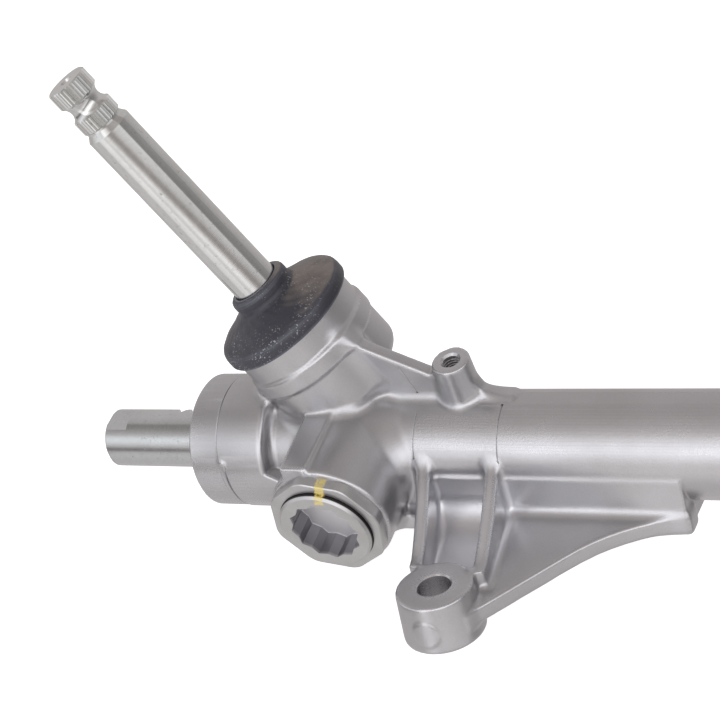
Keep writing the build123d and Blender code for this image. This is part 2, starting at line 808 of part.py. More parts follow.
# ---------------------------------------------------------------- rack guide and its plug
o_ring_places = (guide_front + o_ring_front, guide_back - o_ring_back)
saddle_radius = bar_radius + liner_thickness + seat_gap
with BuildPart() as rack_guide:
    with BuildSketch(guide_face(guide_front)):
        Circle(guide_radius)
    extrude(amount=guide_back - guide_front)
    chamfer(rack_guide.edges().filter_by(GeomType.CIRCLE), 0.8)
    with BuildSketch(rack_face(-2 * guide_radius)):
        Circle(saddle_radius + seat_gap)
    extrude(amount=4 * guide_radius, mode=Mode.SUBTRACT)
    with BuildSketch(guide_face(guide_back)):
        Circle(guide_pocket)
    extrude(amount=guide_pocket_floor - guide_back, mode=Mode.SUBTRACT)
    with Locations(*[guide_face(place) for place in o_ring_places]):
        Torus(guide_radius - o_ring_wire + running_gap, o_ring_wire + seat_gap, mode=Mode.SUBTRACT)

with BuildPart() as rack_guide_liner:
    with BuildSketch(guide_face(guide_front + 0.5)):
        Circle(guide_radius - 1)
    extrude(amount=bar_radius)
    with BuildSketch(rack_face(-2 * guide_radius)):
        Circle(saddle_radius)
    extrude(amount=4 * guide_radius, mode=Mode.INTERSECT)
    with BuildSketch(rack_face(-2 * guide_radius)):
        Circle(bar_radius + seat_gap)
    extrude(amount=4 * guide_radius, mode=Mode.SUBTRACT)

with BuildPart() as rack_guide_o_rings:
    with Locations(*[guide_face(place) for place in o_ring_places]):
        Torus(guide_radius - o_ring_wire + running_gap, o_ring_wire)

spring_bottom = guide_pocket_floor + guide_float
spring_top = plug_pocket_floor - seat_gap
spring_pitch = (spring_top - spring_bottom - 2 * spring_wire) / spring_turns
with BuildPart() as rack_guide_spring:
    with BuildLine():
        coil = Helix(
            spring_pitch,
            spring_pitch * spring_turns,
            spring_radius,
            center=crossing + guide_dir * (spring_bottom + spring_wire),
            direction=guide_dir,
        )
    with BuildSketch(Plane(coil @ 0, z_dir=coil % 0)):
        Circle(spring_wire)
    sweep()

with BuildPart() as rack_guide_plug:
    with BuildSketch(guide_section):
        with BuildLine():
            Polyline(
                (0, plug_pocket_floor),
                (guide_pocket, plug_pocket_floor),
                (guide_pocket, guide_back + guide_float),
                (guide_radius - 1, guide_back + guide_float),
                (guide_radius - 1, guide_back + 2.6),
                (plug_radius - 1.9, guide_back + 2.6),
                (plug_radius - 1.9, guide_back + 4.8),
                (plug_radius, guide_back + 4.8),
                (plug_radius, plug_face - plug_chamfer),
                (plug_radius - plug_chamfer, plug_face),
                (0, plug_face),
                close=True,
            )
        make_face()
    revolve(axis=guide_axis)
    # Twelve-point socket: two hexagons half a side apart
    with BuildSketch(guide_face(plug_face)):
        RegularPolygon(socket_across / 2, 6, major_radius=False)
        RegularPolygon(socket_across / 2, 6, major_radius=False, rotation=30)
    extrude(amount=socket_floor - plug_face, mode=Mode.SUBTRACT)

with BuildPart() as plug_o_ring:
    with Locations(guide_face(guide_back + 3.7)):
        Torus(plug_radius - 1.9 + o_ring_wire, o_ring_wire)

with BuildPart() as rack_guide_lock_nut:
    with BuildSketch(guide_face(chamber_face)):
        octagon = RegularPolygon(nut_across / 2, 8, major_radius=False, rotation=nut_turn + 180 / 8)
        fillet(octagon.vertices(), nut_corner)
        Circle(plug_radius + seat_gap, mode=Mode.SUBTRACT)
    extrude(amount=nut_height)
    chamfer(rack_guide_lock_nut.faces().sort_by(guide_axis)[-1].outer_wire().edges(), 0.4)

# ---------------------------------------------------------------- rack bush
bush_rings = (bush_left + 5, bush_right - 5)
with BuildPart() as rack_bush:
    with BuildSketch(rack_section):
        with Locations(((bush_left + bush_right) / 2, (bar_radius + running_gap + bush_outer) / 2)):
            Rectangle(bush_length - 2 * seat_gap, bush_outer - bar_radius - running_gap)
        with Locations(*[(place, bush_outer - o_ring_wire) for place in bush_rings]):
            Rectangle(2 * o_ring_wire + 0.3, 2 * o_ring_wire + 0.1, mode=Mode.SUBTRACT)
    revolve(axis=rack_axis)

with BuildPart() as rack_bush_o_rings:
    with Locations(*[rack_face(place) for place in bush_rings]):
        Torus(bush_outer - o_ring_wire, o_ring_wire)

with BuildPart() as rack_bush_retainer:
    with BuildSketch(rack_face(bush_right + seat_gap)):
        Circle(retainer_radius)
        Circle(retainer_inner, mode=Mode.SUBTRACT)
        with Locations((0, retainer_radius)):
            Rectangle(8, retainer_radius, mode=Mode.SUBTRACT)
    extrude(amount=retainer_thickness - 2 * seat_gap)

# ---------------------------------------------------------------- files
pieces = {
    "rack_housing": rack_housing,
    "rack_bar": rack_bar,
    "pinion_shaft": pinion_shaft,
    "upper_bearing_inner_race": upper_bearing_inner_race,
    "upper_bearing_outer_race": upper_bearing_outer_race,
    "upper_bearing_balls": upper_bearing_balls,
    "upper_bearing_cage": upper_bearing_cage,
    "bearing_circlip": bearing_circlip,
    "pinion_lock_plug": pinion_lock_plug,
    "pinion_oil_seal": pinion_oil_seal,
    "pinion_seal_spring": pinion_seal_spring,
    "pinion_dust_cover": pinion_dust_cover,
    "lower_bearing_cup": lower_bearing_cup,
    "lower_bearing_needles": lower_bearing_needles,
    "rack_guide": rack_guide,
    "rack_guide_liner": rack_guide_liner,
    "rack_guide_o_rings": rack_guide_o_rings,
    "rack_guide_spring": rack_guide_spring,
    "rack_guide_plug": rack_guide_plug,
    "plug_o_ring": plug_o_ring,
    "rack_guide_lock_nut": rack_guide_lock_nut,
    "rack_bush": rack_bush,
    "rack_bush_o_rings": rack_bush_o_rings,
    "rack_bush_retainer": rack_bush_retainer,
}
os.makedirs("parts", exist_ok=True)
for name, piece in pieces.items():
    piece.part.label = name
    export_step(piece.part, f"parts/{name}.step")
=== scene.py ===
import bmesh
import bpy
import math
import numpy as np
import openvdb
from mathutils import Matrix, Vector


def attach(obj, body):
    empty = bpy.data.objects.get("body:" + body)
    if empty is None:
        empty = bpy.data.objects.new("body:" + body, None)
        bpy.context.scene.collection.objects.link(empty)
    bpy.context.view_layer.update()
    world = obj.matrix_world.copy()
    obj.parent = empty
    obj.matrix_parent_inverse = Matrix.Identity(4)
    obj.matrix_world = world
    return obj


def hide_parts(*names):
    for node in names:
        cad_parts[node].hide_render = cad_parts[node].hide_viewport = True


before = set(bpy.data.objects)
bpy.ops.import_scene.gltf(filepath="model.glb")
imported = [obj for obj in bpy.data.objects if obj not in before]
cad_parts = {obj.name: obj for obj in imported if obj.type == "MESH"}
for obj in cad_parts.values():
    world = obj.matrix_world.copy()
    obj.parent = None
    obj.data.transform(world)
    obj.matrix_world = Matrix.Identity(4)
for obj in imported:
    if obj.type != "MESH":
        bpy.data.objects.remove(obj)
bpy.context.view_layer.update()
mm = 0.001

# Where things are, in millimetres: the crossing of rack and pinion, and the directions
# that leave it along the rack, out of the guide bore and up the pinion.
layout = {
    "crossing": (-57.5, 76.2, 34.5),
    "roll": 12.0,            # guide bore below the horizontal
    "lean": 22.0,            # pinion from square to the rack
    "centres": 15.467,       # rack axis to pinion axis
    "lugSpacing": 330.0,
}
roll, lean = math.radians(layout["roll"]), math.radians(layout["lean"])
crossing = np.array(layout["crossing"])
rackDir = np.array((1.0, 0.0, 0.0))
guideDir = np.array((0.0, -math.cos(roll), -math.sin(roll)))
towerDir = np.array((0.0, -math.sin(roll), math.cos(roll)))
pinionDir = towerDir * math.cos(lean) - rackDir * math.sin(lean)
pinionSide = rackDir * math.cos(lean) + towerDir * math.sin(lean)
backDir = np.array((0.0, 1.0, 0.0))
upDir = np.array((0.0, 0.0, 1.0))
# from the crossing to the pinion's axis
toPinion = -guideDir * layout["centres"]

view = {
    "place": (314.4, -520.7, 430.0), "turn": 31.42, "rise": 27.03, "roll": -16.08,
    "lens": 97.5, "sensor": 36,
}


def placeCamera():
    # Back is the direction from the object to the camera; right and up are turned about it.
    turn, rise, tip = (math.radians(view[angle]) for angle in ("turn", "rise", "roll"))
    level = Vector((math.cos(turn), math.sin(turn), 0))
    away = Vector((math.sin(turn), -math.cos(turn), 0))
    back = away * math.cos(rise) + Vector(upDir) * math.sin(rise)
    above = back.cross(level)
    right = level * math.cos(tip) + above * math.sin(tip)
    up = above * math.cos(tip) - level * math.sin(tip)
    data = bpy.data.cameras.new("viewpoint")
    data.lens = view["lens"]
    data.sensor_width = view["sensor"]
    data.clip_start = 0.01
    camera = bpy.data.objects.new("viewpoint", data)
    bpy.context.collection.objects.link(camera)
    rows = [(right[k], up[k], back[k], view["place"][k] * mm) for k in range(3)]
    camera.matrix_world = Matrix(rows + [(0, 0, 0, 1)])
    bpy.context.scene.camera = camera


def fillet(a, b, radius):
    # Union of two solids whose inner corner is an arc of the given radius.
    return np.maximum(radius, np.minimum(a, b)) - np.hypot(
        np.maximum(radius - a, 0), np.maximum(radius - b, 0))


def rounded(a, b, radius):
    # Common part of two solids whose outer corner is an arc of the given radius.
    return np.minimum(-radius, np.maximum(a, b)) + np.hypot(
        np.maximum(a + radius, 0), np.maximum(b + radius, 0))


def inPolygon(x, y, corners):
    # Distance to the nearest side, negative inside by counting crossings to the left.
    shape = np.broadcast_shapes(np.shape(x), np.shape(y))
    nearest = np.full(shape, 1e9, dtype=np.float32)
    inside = np.zeros(shape, dtype=bool)
    for (x0, y0), (x1, y1) in zip(corners, corners[1:] + corners[:1]):
        ex, ey = x1 - x0, y1 - y0
        share = np.clip(((x - x0) * ex + (y - y0) * ey) / (ex * ex + ey * ey), 0, 1)
        nearest = np.minimum(nearest, (x - x0 - ex * share) ** 2 + (y - y0 - ey * share) ** 2)
        if y0 != y1:
            between = (y0 <= y) != (y1 <= y)
            inside ^= between & (x - x0 < (y - y0) * ex / ey)
    nearest = np.sqrt(nearest)
    return np.where(inside, -nearest, nearest)


def arcPoints(start, through, end, count):
    # Points along the circle through three places, from the first to the last.
    (ax, ay), (bx, by), (cx, cy) = start, through, end
    d = 2 * (ax * (by - cy) + bx * (cy - ay) + cx * (ay - by))
    a2, b2, c2 = ax * ax + ay * ay, bx * bx + by * by, cx * cx + cy * cy
    ux = (a2 * (by - cy) + b2 * (cy - ay) + c2 * (ay - by)) / d
    uy = (a2 * (cx - bx) + b2 * (ax - cx) + c2 * (bx - ax)) / d
    a0, a1, a2 = (math.atan2(y - uy, x - ux) for x, y in (start, through, end))
    turn = (a2 - a0) % (2 * math.pi)
    if (a1 - a0) % (2 * math.pi) > turn:
        turn -= 2 * math.pi
    r = math.hypot(ax - ux, ay - uy)
    angles = np.linspace(a0, a0 + turn, count + 1)
    return [(ux + r * math.cos(a), uy + r * math.sin(a)) for a in angles]


# The space round the casting, in millimetres from the crossing: fine along its first
# stretch, coarse along the plain tube and between the two at the far end
space = {
    "along": ((-76, 158, 1.0), (158, 285, None), (285, 457, 1.4)), "plain": 6.0,
    "back": (-95, 33), "up": (-39, 77),
    "step": 0.72, "quickStep": 1.2,
    "band": 3.0, "weld": 1e-9, "triangles": 174000,
}


class Grid:
    # A field of distances on planes of x, y and z. A block is a part of it, worked on by itself.
    def __init__(self, step):
        along = [np.arange(low, high, step * times if times else space["plain"])
                 for low, high, times in space["along"]]
        planes = [np.concatenate(along), np.arange(*space["back"], step), np.arange(*space["up"], step)]
        self.planes = [p.astype(np.float32) for p in planes]
        self.field = np.full([len(p) for p in self.planes], 1e3, dtype=np.float32)

    def block(self, *limits):
        spans = []
        for axis, plane in enumerate(self.planes):
            low, high = limits[2 * axis:2 * axis + 2]
            spans.append(slice(*np.searchsorted(plane, (low, high))))
        x, y, z = (p[s] for p, s in zip(self.planes, spans))
        return tuple(spans), x[:, None, None], y[None, :, None], z[None, None, :]

    def join(self, part, body, radius):
        self.field[part] = fillet(self.field[part], body, radius)

    def surface(self):
        # Vertices come in steps of the grid, and are moved to the planes' own places.
        volume = openvdb.FloatGrid(space["band"])
        volume.copyFromArray(np.clip(self.field, -space["band"], space["band"]))
        points, triangles, quads = volume.convertToPolygons(isovalue=0.0, adaptivity=0.0)
        places = np.stack([
            np.interp(points[:, k], np.arange(len(p)), p) for k, p in enumerate(self.planes)], axis=1)
        return places, triangles, quads

    def at(self, points):
        # The field between its planes.
        low, share = [], []
        for k, plane in enumerate(self.planes):
            place = np.interp(points[:, k], plane, np.arange(len(plane)))
            low.append(np.minimum(place.astype(int), len(plane) - 2))
            share.append(place - low[k])
        value = np.zeros(len(points))
        for corner in np.ndindex(2, 2, 2):
            weight = math.prod(part if far else 1 - part for part, far in zip(share, corner))
            value += weight * self.field[tuple(first + far for first, far in zip(low, corner))]
        return value

    def slope(self, points, reach):
        # Which way the field rises fastest at each point, over a short reach each way.
        rise = [self.at(points + step) - self.at(points - step) for step in np.eye(3) * reach]
        rise = np.stack(rise, axis=1)
        return rise / np.maximum(np.linalg.norm(rise, axis=1, keepdims=True), 1e-9)


# The casting, in millimetres from the crossing: x along the rack, y back, z up, t up the tower,
# h out of the guide bore and s up the pinion. A join is the fillet to what is already there,
# and an edge the rounding of an outer corner.
casting = {
    "tube": 21.2, "drum": 28.25,
    # middle, half length, edge and join
    "drums": ((-59.5, 25, 2.0, 3.0), (448, 28, 3.0, 12.0)),
    "chamber": 25.5, "chamberFace": 43.8,
    "lug": (57.5, -76.2), "lugTop": -14.0, "foot": -34.5,
    "boss": (48.4, 6.0, 39.2, 7.8),    # x, back, top and radius
}


def leaning(y, z):
    return (-y * math.sin(roll) + z * math.cos(roll), -y * math.cos(roll) - z * math.sin(roll))


def castTube(grid):
    _, x, y, z = grid.block(-99, 999, -99, 99, -99, 99)
    across = np.hypot(y, z)
    body = across - casting["tube"] + 0 * x
    for middle, half, edge, join in casting["drums"]:
        body = fillet(body, rounded(across - casting["drum"], np.abs(x - middle) - half, edge), join)
    grid.field[:] = body


seat = {
    "step": 0.3, "slope": 0.5,
    "edge": -56.0, "wider": 2.2, "below": (-76, 87.5, 1.5),
    "ridge": 0.55, "ridgeAt": (-54.3, 11.8), "ridgeSize": (1.1, 1.8),
    "rightEdge": 436,
}


def castSeats(grid):
    # A shallow step round each drum for its boot. The left one is wider below, with a short
    # ridge where its two halves meet.
    part, x, y, z = grid.block(-76, -45, -40, 40, -39, 40)
    angle = np.degrees(np.arctan2(z, -y))
    middle, half, fade = seat["below"]
    below = np.clip((half - np.abs(angle - middle)) / fade, 0, 1)
    edge = seat["edge"] + seat["wider"] * below
    step = seat["step"] * np.clip((edge - x) / seat["slope"], 0, 1)
    (ridgeX, ridgeAngle), (wide, tall) = seat["ridgeAt"], seat["ridgeSize"]
    ridge = seat["ridge"] * np.exp(-((x - ridgeX) / wide) ** 2 - ((angle - ridgeAngle) / tall) ** 2)
    grid.field[part] += (step - ridge).astype(np.float32)
    part, x, y, z = grid.block(430, 460, -40, 40, -39, 40)
    step = seat["step"] * np.clip((x - seat["rightEdge"]) / seat["slope"], 0, 1)
    grid.field[part] += step + 0 * (y + z)


can = {"domeFrom": 4, "domeDepth": 28, "edge": 1.5, "join": 3.0, "widerJoin": 4.0, "widens": (-5, 22)}


def castChamber(grid):
    # The guide chamber: a can with a domed back, joined more broadly on its right.
    part, x, y, z = grid.block(-45, 45, -60, 44, -39, 50)
    t, h = leaning(y, z)
    radius = casting["chamber"]
    girth = np.hypot(x, t)
    dome = np.hypot(girth / radius, (h - can["domeFrom"]) / can["domeDepth"])
    skin = (np.where(h < can["domeFrom"], dome, girth / radius) - 1) * radius
    start, span = can["widens"]
    join = can["join"] + can["widerJoin"] * np.clip((x - start) / span, 0, 1)
    body = rounded(skin, h - casting["chamberFace"], can["edge"])
    grid.join(part, body, join)


tower = {
    "rings": ((40.9, 28.2), (41.6, 29.0), (48.4, 29.0), (49.8, 27.9)),    # s and radius
    "foot": 19.0, "top": 68, "edge": 5.0, "join": 5.0,
    "footRise": 3.6, "footRises": (-8, 12),
    # the chest under it: radius, middle, half length and edge
    "chest": ((14, -7, 27, 4.0), (19, 2, 20, 6.0)), "chestJoin": 4.0,
}


def castTower(grid):
    # The pinion's chest and tower: rings about the pinion axis. The tower's foot rises
    # towards the back.
    part, x, y, z = grid.block(-76, 60, -50, 44, -39, 77)
    t, h = leaning(y, z)
    s = t * math.cos(lean) - x * math.sin(lean)
    side = x * math.cos(lean) + t * math.sin(lean)
    girth = np.hypot(side, h + layout["centres"])
    narrow, wide = (rounded(girth - radius, np.abs(s - middle) - half, edge)
                    for radius, middle, half, edge in tower["chest"])
    grid.join(part, fillet(narrow, wide, tower["chestJoin"]), tower["join"])
    at, radii = zip(*tower["rings"])
    start, span = tower["footRises"]
    foot = tower["foot"] + tower["footRise"] * np.clip((start - h) / span, 0, 1)
    rings = rounded(girth - np.interp(s, at, radii).astype(np.float32), foot - s, tower["edge"])
    grid.join(part, np.maximum(rings, s - tower["top"]), tower["join"])


pad = {"middle": -7.85, "half": 5.85, "top": 27.4, "edge": 0.9, "faceEdge": 1.5, "join": 2.0}


def castPad(grid):
    # The flat pad on the chamber's shoulder.
    part, x, y, z = grid.block(-30, 20, -60, 20, 0, 50)
    t, h = leaning(y, z)
    body = rounded(np.abs(x - pad["middle"]) - pad["half"], t - pad["top"], pad["edge"])
    body = np.maximum(rounded(body, h - casting["chamberFace"], pad["faceEdge"]), -h)
    grid.join(part, body, pad["join"])


skirt = {"span": (-37.5, -2), "level": 1.2, "fall": 0.55, "from": -35.2, "edge": 1.0}


def castSkirt(grid):
    # The drum's lower half runs on to the chamber, with a sloping ledge along its top.
    part, x, y, z = grid.block(-45, 10, -44, 44, -39, 12)
    ledge = z - skirt["level"] + skirt["fall"] * (x - skirt["from"])
    body = rounded(np.hypot(y, z) - casting["drum"], ledge, skirt["edge"])
    left, right = skirt["span"]
    body = np.maximum(np.maximum(body, x - right), left - x)
    grid.field[part] = np.minimum(grid.field[part], body)


spine = {
    "outline": [(-2, 10), (-2, 56), (6, 53), (19.8, 44.8), (38.2, 34.0), (48.4, 31.0)],
    "tail": ((56, 27), (60.5, 23.6), (70, 21.2)), "end": [(70, 10)],
    "middle": -6, "half": 3, "edge": 1.3, "join": 5.0,
    "bossTaper": 0.02, "bossEdge": 0.6, "bossJoin": 3.0,
    # the parting ridge along the tube, with its reach in x
    "ridge": (57.5, 388), "ridgeMiddle": -2.5, "ridgeHalf": 3.8, "ridgeTop": 21.5, "ridgeEdge": 0.3,
}


def castSpine(grid):
    # The rib from the tower over the tube, the bracket boss at its end and the parting ridge.
    part, x, y, z = grid.block(-5, 90, -30, 44, 5, 77)
    t, h = leaning(y, z)
    outline = spine["outline"] + arcPoints(*spine["tail"], 6) + spine["end"]
    rib = rounded(inPolygon(x, t, outline), np.abs(h - spine["middle"]) - spine["half"], spine["edge"])
    grid.join(part, rib, spine["join"])
    bossAt, bossBack, bossTop, bossRadius = casting["boss"]
    boss = np.hypot(x - bossAt, h + bossBack) - bossRadius - spine["bossTaper"] * (bossTop - t)
    grid.join(part, rounded(boss, t - bossTop, spine["bossEdge"]), spine["bossJoin"])
    part, x, y, z = grid.block(*spine["ridge"], -10, 20, 12, 32)
    t, h = leaning(y, z)
    ridge = np.abs(h - spine["ridgeMiddle"]) - spine["ridgeHalf"] + 0 * x
    ridge = rounded(ridge, t - spine["ridgeTop"], spine["ridgeEdge"])
    grid.field[part] = np.minimum(grid.field[part], ridge)


bracket = {
    "blocks": ((15, 175), (270, 430)),
    # base rail: its section as y and z, and its reach in x
    "rail": [(0, -3.9), (-19.6, -3.9), (-19.3, -24.0), (4, -24.0), (11, -17), (0, -3)],
    "railGrown": 2.1, "railSpan": (22.5, 140), "railEdge": 1.0, "railJoin": 0.9,
    # gusset web: its plan as x and y; only the left one reaches the chamber
    "leftRoot": [(15.0, -15), (15.0, -25.5), (30.7, -25.5)], "root": [(30.0, -15), (30.0, -23)],
    "plan": [(42.5, -76.2), (71.0, -82.95)], "end": [(140.0, -15)],
    "sweep": ((99.0, -47.0), (116.0, -31.0), (140.0, -21.2)),
    "level": -22.5, "slope": 3, "half": 3.5, "sunk": 3.6, "edge": 1.2,
    "pocket": (36, 66), "pocketFade": 4, "join": 4.5, "pocketJoin": 8.0,
    "lugRadius": 15, "lugWiden": 1.2, "lugMiddle": -24.25, "lugHalf": 10.25,
    "lugEdge": 1.1, "lugJoin": 2.0,
    "spot": (57.7, -25.6), "spotRadius": 5.9, "spotHigh": 0.5, "spotSlope": 0.9, "spotFrom": 8,
    # ribs: x at the tube, x at the lug, and y at the lug
    "ribs": ((34.5, 43.5, 59.2), (64.2, 70.5, 61.2)),
    "crest": ((-4, 6.0), (0.45, -6.5), -14), "ribEnd": 6, "ribFoot": -24,
    "ribHalf": 2.75, "ribEdge": 1.9, "ribJoin": 3.0,
}


def webPlan(mirrored):
    b = bracket
    root = b["root"] if mirrored else b["leftRoot"]
    return root + b["plan"] + [b["sweep"][0]] + arcPoints(*b["sweep"], 8)[1:] + b["end"]


def castRib(x, y, z, foot, head, reach):
    # A plate from the tube to the lug, whose crest is an arc.
    b, tube = bracket, casting["tube"]
    dx, dy = head - foot, tube - reach
    length = math.hypot(dx, dy)
    along = ((x - foot) * dx + (y + tube) * dy) / length
    across = ((x - foot) * dy - (y + tube) * dx) / length
    start, (share, sag), end = b["crest"]
    crest = arcPoints(start, (share * length, sag), (length, end), 10)
    past, low = length + b["ribEnd"], b["ribFoot"]
    crest += [(past, end), (past, low), (start[0], low)]
    return rounded(inPolygon(along, z, crest), np.abs(across) - b["ribHalf"], b["ribEdge"])


def castBrackets(grid):
    # Rail, web, ribs and lug, the same at both ends.
    b = bracket
    lugX, lugY = casting["lug"]
    left, right = b["railSpan"]
    low, high = b["pocket"]
    for mirrored, reach in enumerate(b["blocks"]):
        part, x, y, z = grid.block(*reach, -95, 30, -39, 15)
        if mirrored:
            x = 2 * lugX + layout["lugSpacing"] - x
        rail = inPolygon(y, z, b["rail"]) - b["railGrown"]
        rail = rounded(rounded(rail, left - x, b["railEdge"]), x - right, b["railEdge"])
        body = fillet(grid.field[part], rail, b["railJoin"])

        inPocket = np.clip((high - x) / b["pocketFade"], 0, 1) * np.clip((x - low) / b["pocketFade"], 0, 1)
        level = b["level"] + (y + casting["tube"]) * math.tan(math.radians(b["slope"]))
        floorLevel = level + b["half"] - b["sunk"] * inPocket
        depth = np.maximum(z - floorLevel, level - b["half"] - z)
        web = rounded(inPolygon(x, y, webPlan(mirrored)), depth, b["edge"])
        body = fillet(body, web, b["join"] + b["pocketJoin"] * inPocket)

        widen = b["lugWiden"] * (casting["lugTop"] - z) / (2 * b["lugHalf"])
        lug = np.hypot(x - lugX, y - lugY) - b["lugRadius"] - widen
        lug = rounded(lug, np.abs(z - b["lugMiddle"]) - b["lugHalf"], b["lugEdge"])
        spotX, spotZ = b["spot"]
        spot = (b["spotRadius"] - np.hypot(x - spotX, z - spotZ)) / b["spotSlope"]
        raised = b["spotHigh"] * np.clip(spot, 0, 1) * (y < lugY - b["spotFrom"])
        body = fillet(body, lug, b["lugJoin"]) - raised.astype(np.float32)
        for rib in b["ribs"]:
            body = fillet(body, castRib(x, y, z, *rib), b["ribJoin"])
        grid.field[part] = np.maximum(body, casting["foot"] - z)


def castHousing(grid):
    for shape in (castTube, castSeats, castChamber, castTower, castPad, castSkirt, castSpine, castBrackets):
        shape(grid)


def meshObject(name, points, faces, toMetres=True):
    # Points are in millimetres from the crossing unless told otherwise.
    mesh = bpy.data.meshes.new(name)
    places = (np.asarray(points) + crossing) * mm if toMetres else np.asarray(points)
    mesh.from_pydata(places.tolist(), [], faces)
    mesh.update()
    piece = bpy.data.objects.new(name, mesh)
    bpy.context.collection.objects.link(piece)
    return piece


def closeUp(piece, distance=1e-7):
    # Merges the poles and seams and points every face outwards.
    work = bmesh.new()
    work.from_mesh(piece.data)
    bmesh.ops.remove_doubles(work, verts=work.verts, dist=distance)
    bmesh.ops.recalc_face_normals(work, faces=work.faces)
    work.to_mesh(piece.data)
    work.free()
    piece.data.update()


def gridFaces(rows, columns, wrapRows=False, wrapColumns=True):
    # Quads between neighbouring points of a grid, counted row by row.
    i = np.arange(rows if wrapRows else rows - 1)[:, None]
    j = np.arange(columns if wrapColumns else columns - 1)[None, :]
    k, l = (i + 1) % rows, (j + 1) % columns
    corners = ((i, j), (i, l), (k, l), (k, j))
    quads = np.broadcast_arrays(*(row * columns + column for row, column in corners))
    return np.stack(quads, axis=-1).reshape(-1, 4).tolist()


def turned(name, profile, origin, axis, side, steps=96, loop=False):
    # Each point is origin + length along the axis + radius along the side turned about the axis.
    radius, length = np.asarray(profile, dtype=float).T
    angle = np.linspace(0, 2 * np.pi, steps, endpoint=False)
    axis, side = np.asarray(axis), np.asarray(side)
    third = np.cross(axis, side)
    spoke = np.cos(angle)[None, :, None] * side + np.sin(angle)[None, :, None] * third
    points = np.asarray(origin) + length[:, None, None] * axis + radius[:, None, None] * spoke
    piece = meshObject(name, points.reshape(-1, 3), gridFaces(len(radius), steps, wrapRows=loop))
    closeUp(piece)
    return piece


def applied(piece):
    # Gives the piece the mesh that its modifiers make.
    graph = bpy.context.evaluated_depsgraph_get()
    mesh = bpy.data.meshes.new_from_object(piece.evaluated_get(graph))
    piece.modifiers.clear()
    piece.data = mesh


def cut(piece, cutters):
    # Takes each cutter away from the piece and deletes it.
    for cutter in cutters:
        change = piece.modifiers.new("cut", "BOOLEAN")
        change.operation = "DIFFERENCE"
        change.solver = "MANIFOLD"
        change.object = cutter
        applied(piece)
        bpy.data.objects.remove(cutter)


def thin(piece, most):
    # Merges faces where the shape is plain until no more triangles than this are left.
    count = sum(len(face.vertices) - 2 for face in piece.data.polygons)
    change = piece.modifiers.new("thin", "DECIMATE")
    change.ratio = min(1.0, most / count)
    change.use_collapse_triangulate = True
    applied(piece)


def smoothByAngle(piece, degrees):
    # Faces that meet at less than the angle share a normal.
    mesh = piece.data
    mesh.shade_smooth()
    work = bmesh.new()
    work.from_mesh(mesh)
    limit = math.radians(degrees)
    for e in work.edges:
        e.smooth = e.is_manifold and e.calc_face_angle(0) < limit
    work.to_mesh(mesh)
    work.free()


# Half sections of what is cut out, as radius and length
bores = {
    "rack": ((0, -90), (40, -90), (40, -70), (23.8, -70), (23, -69.2), (23, -46), (13.5, -46), (13.5, 25.5),
        (16.5, 28.5), (16.5, 397), (17.02, 397), (17.02, 421), (18.62, 421), (18.62, 423),
        (17.02, 423), (17.02, 426), (23, 426), (23, 449.2), (23.8, 450), (40, 450), (40, 470), (0, 470)),
    "leftEdge": ((26.7, -70.1), (28.9, -67.9), (34, -67.9), (34, -72), (26.7, -72)),
    "rightEdge": ((26.7, 450.1), (26.7, 452), (34, 452), (34, 447.9), (28.9, 447.9)),
    "guide": ((0, 0), (18.05, 0), (18.05, 31), (19.6, 32.5), (19.6, 45), (0, 45)),
    "pinion": ((0, -31), (9.02, -31), (9.02, -18), (12.6, -18), (12.6, 24), (23.52, 24), (23.52, 38),
        (25.02, 38), (25.02, 64), (34, 64), (34, 72), (0, 72)),
    "bolt": ((0, -36), (6.5, -36), (6.5, -14.6), (7.3, -13.8), (7.3, -10), (0, -10)),
}
bossThread = {"radius": 3.4, "crest": 4.0, "pitch": 1.25, "depth": 18}


def threadedHole(radius, crest, pitch, depth):
    # Half section of a blind hole whose thread goes out and in by the turn, wider at its mouth.
    points = [(0, -depth - 2), (radius, -depth)]
    thread = ((0.15, radius), (0.45, crest), (0.6, crest), (0.9, radius))
    for k in range(int((depth - 1) / pitch)):
        points += [(out, -depth + k * pitch + share * pitch) for share, out in thread]
    return points + [(radius, -0.9), (crest + 0.3, 0.05), (crest + 0.3, 2), (0, 2)]


# Fine grooves left by the die and the boot: round the rack at a place along it, from one
# angle to another, as radius, half width and depth
grooves = {
    "seat above": (-56.0, -30, 200, 28.1, 0.30, 0.32),
    "seat below": (-53.8, -195, 11, 28.0, 0.50, 1.10),
    "die left": (31.2, 6, 70, 21.2, 0.28, 0.30),
    "die right": (67.3, 6, 126, 21.2, 0.28, 0.30),
}
dieOverRib = {
    # places along the rack and up the tower, and how far along the line each one is
    "line": ((31.2, 21.2), (29.0, 29.0), (26.6, 39.5)), "shares": (0, 0.45, 1), "count": 24,
    "wall": -3.0, "half": 0.28, "depth": 0.3,
}
groove = {"lift": 0.3, "taper": 0.08, "over": 0.1}


def grooveTool(name, places, outward, sideways, half, depth):
    # Carries a V along the places: two lips above the surface and the bottom under it. The
    # bottom rises out of the surface at both ends.
    places, outward = np.asarray(places), np.asarray(outward)
    run = np.linspace(0, 1, len(places))
    taper = np.clip(np.minimum(run, 1 - run) / groove["taper"], 0, 1)
    bottom = (depth * taper - groove["over"] * (1 - taper))[:, None]
    lift = groove["lift"]
    reach = half * (depth + lift) / depth
    points = np.stack([places + outward * lift + sideways * reach, places - outward * bottom,
                       places + outward * lift - sideways * reach], axis=1)
    last = 3 * len(places) - 3
    faces = gridFaces(len(places), 3) + [[0, 1, 2], [last + 2, last + 1, last]]
    tool = meshObject(name, points.reshape(-1, 3), faces)
    closeUp(tool)
    return tool


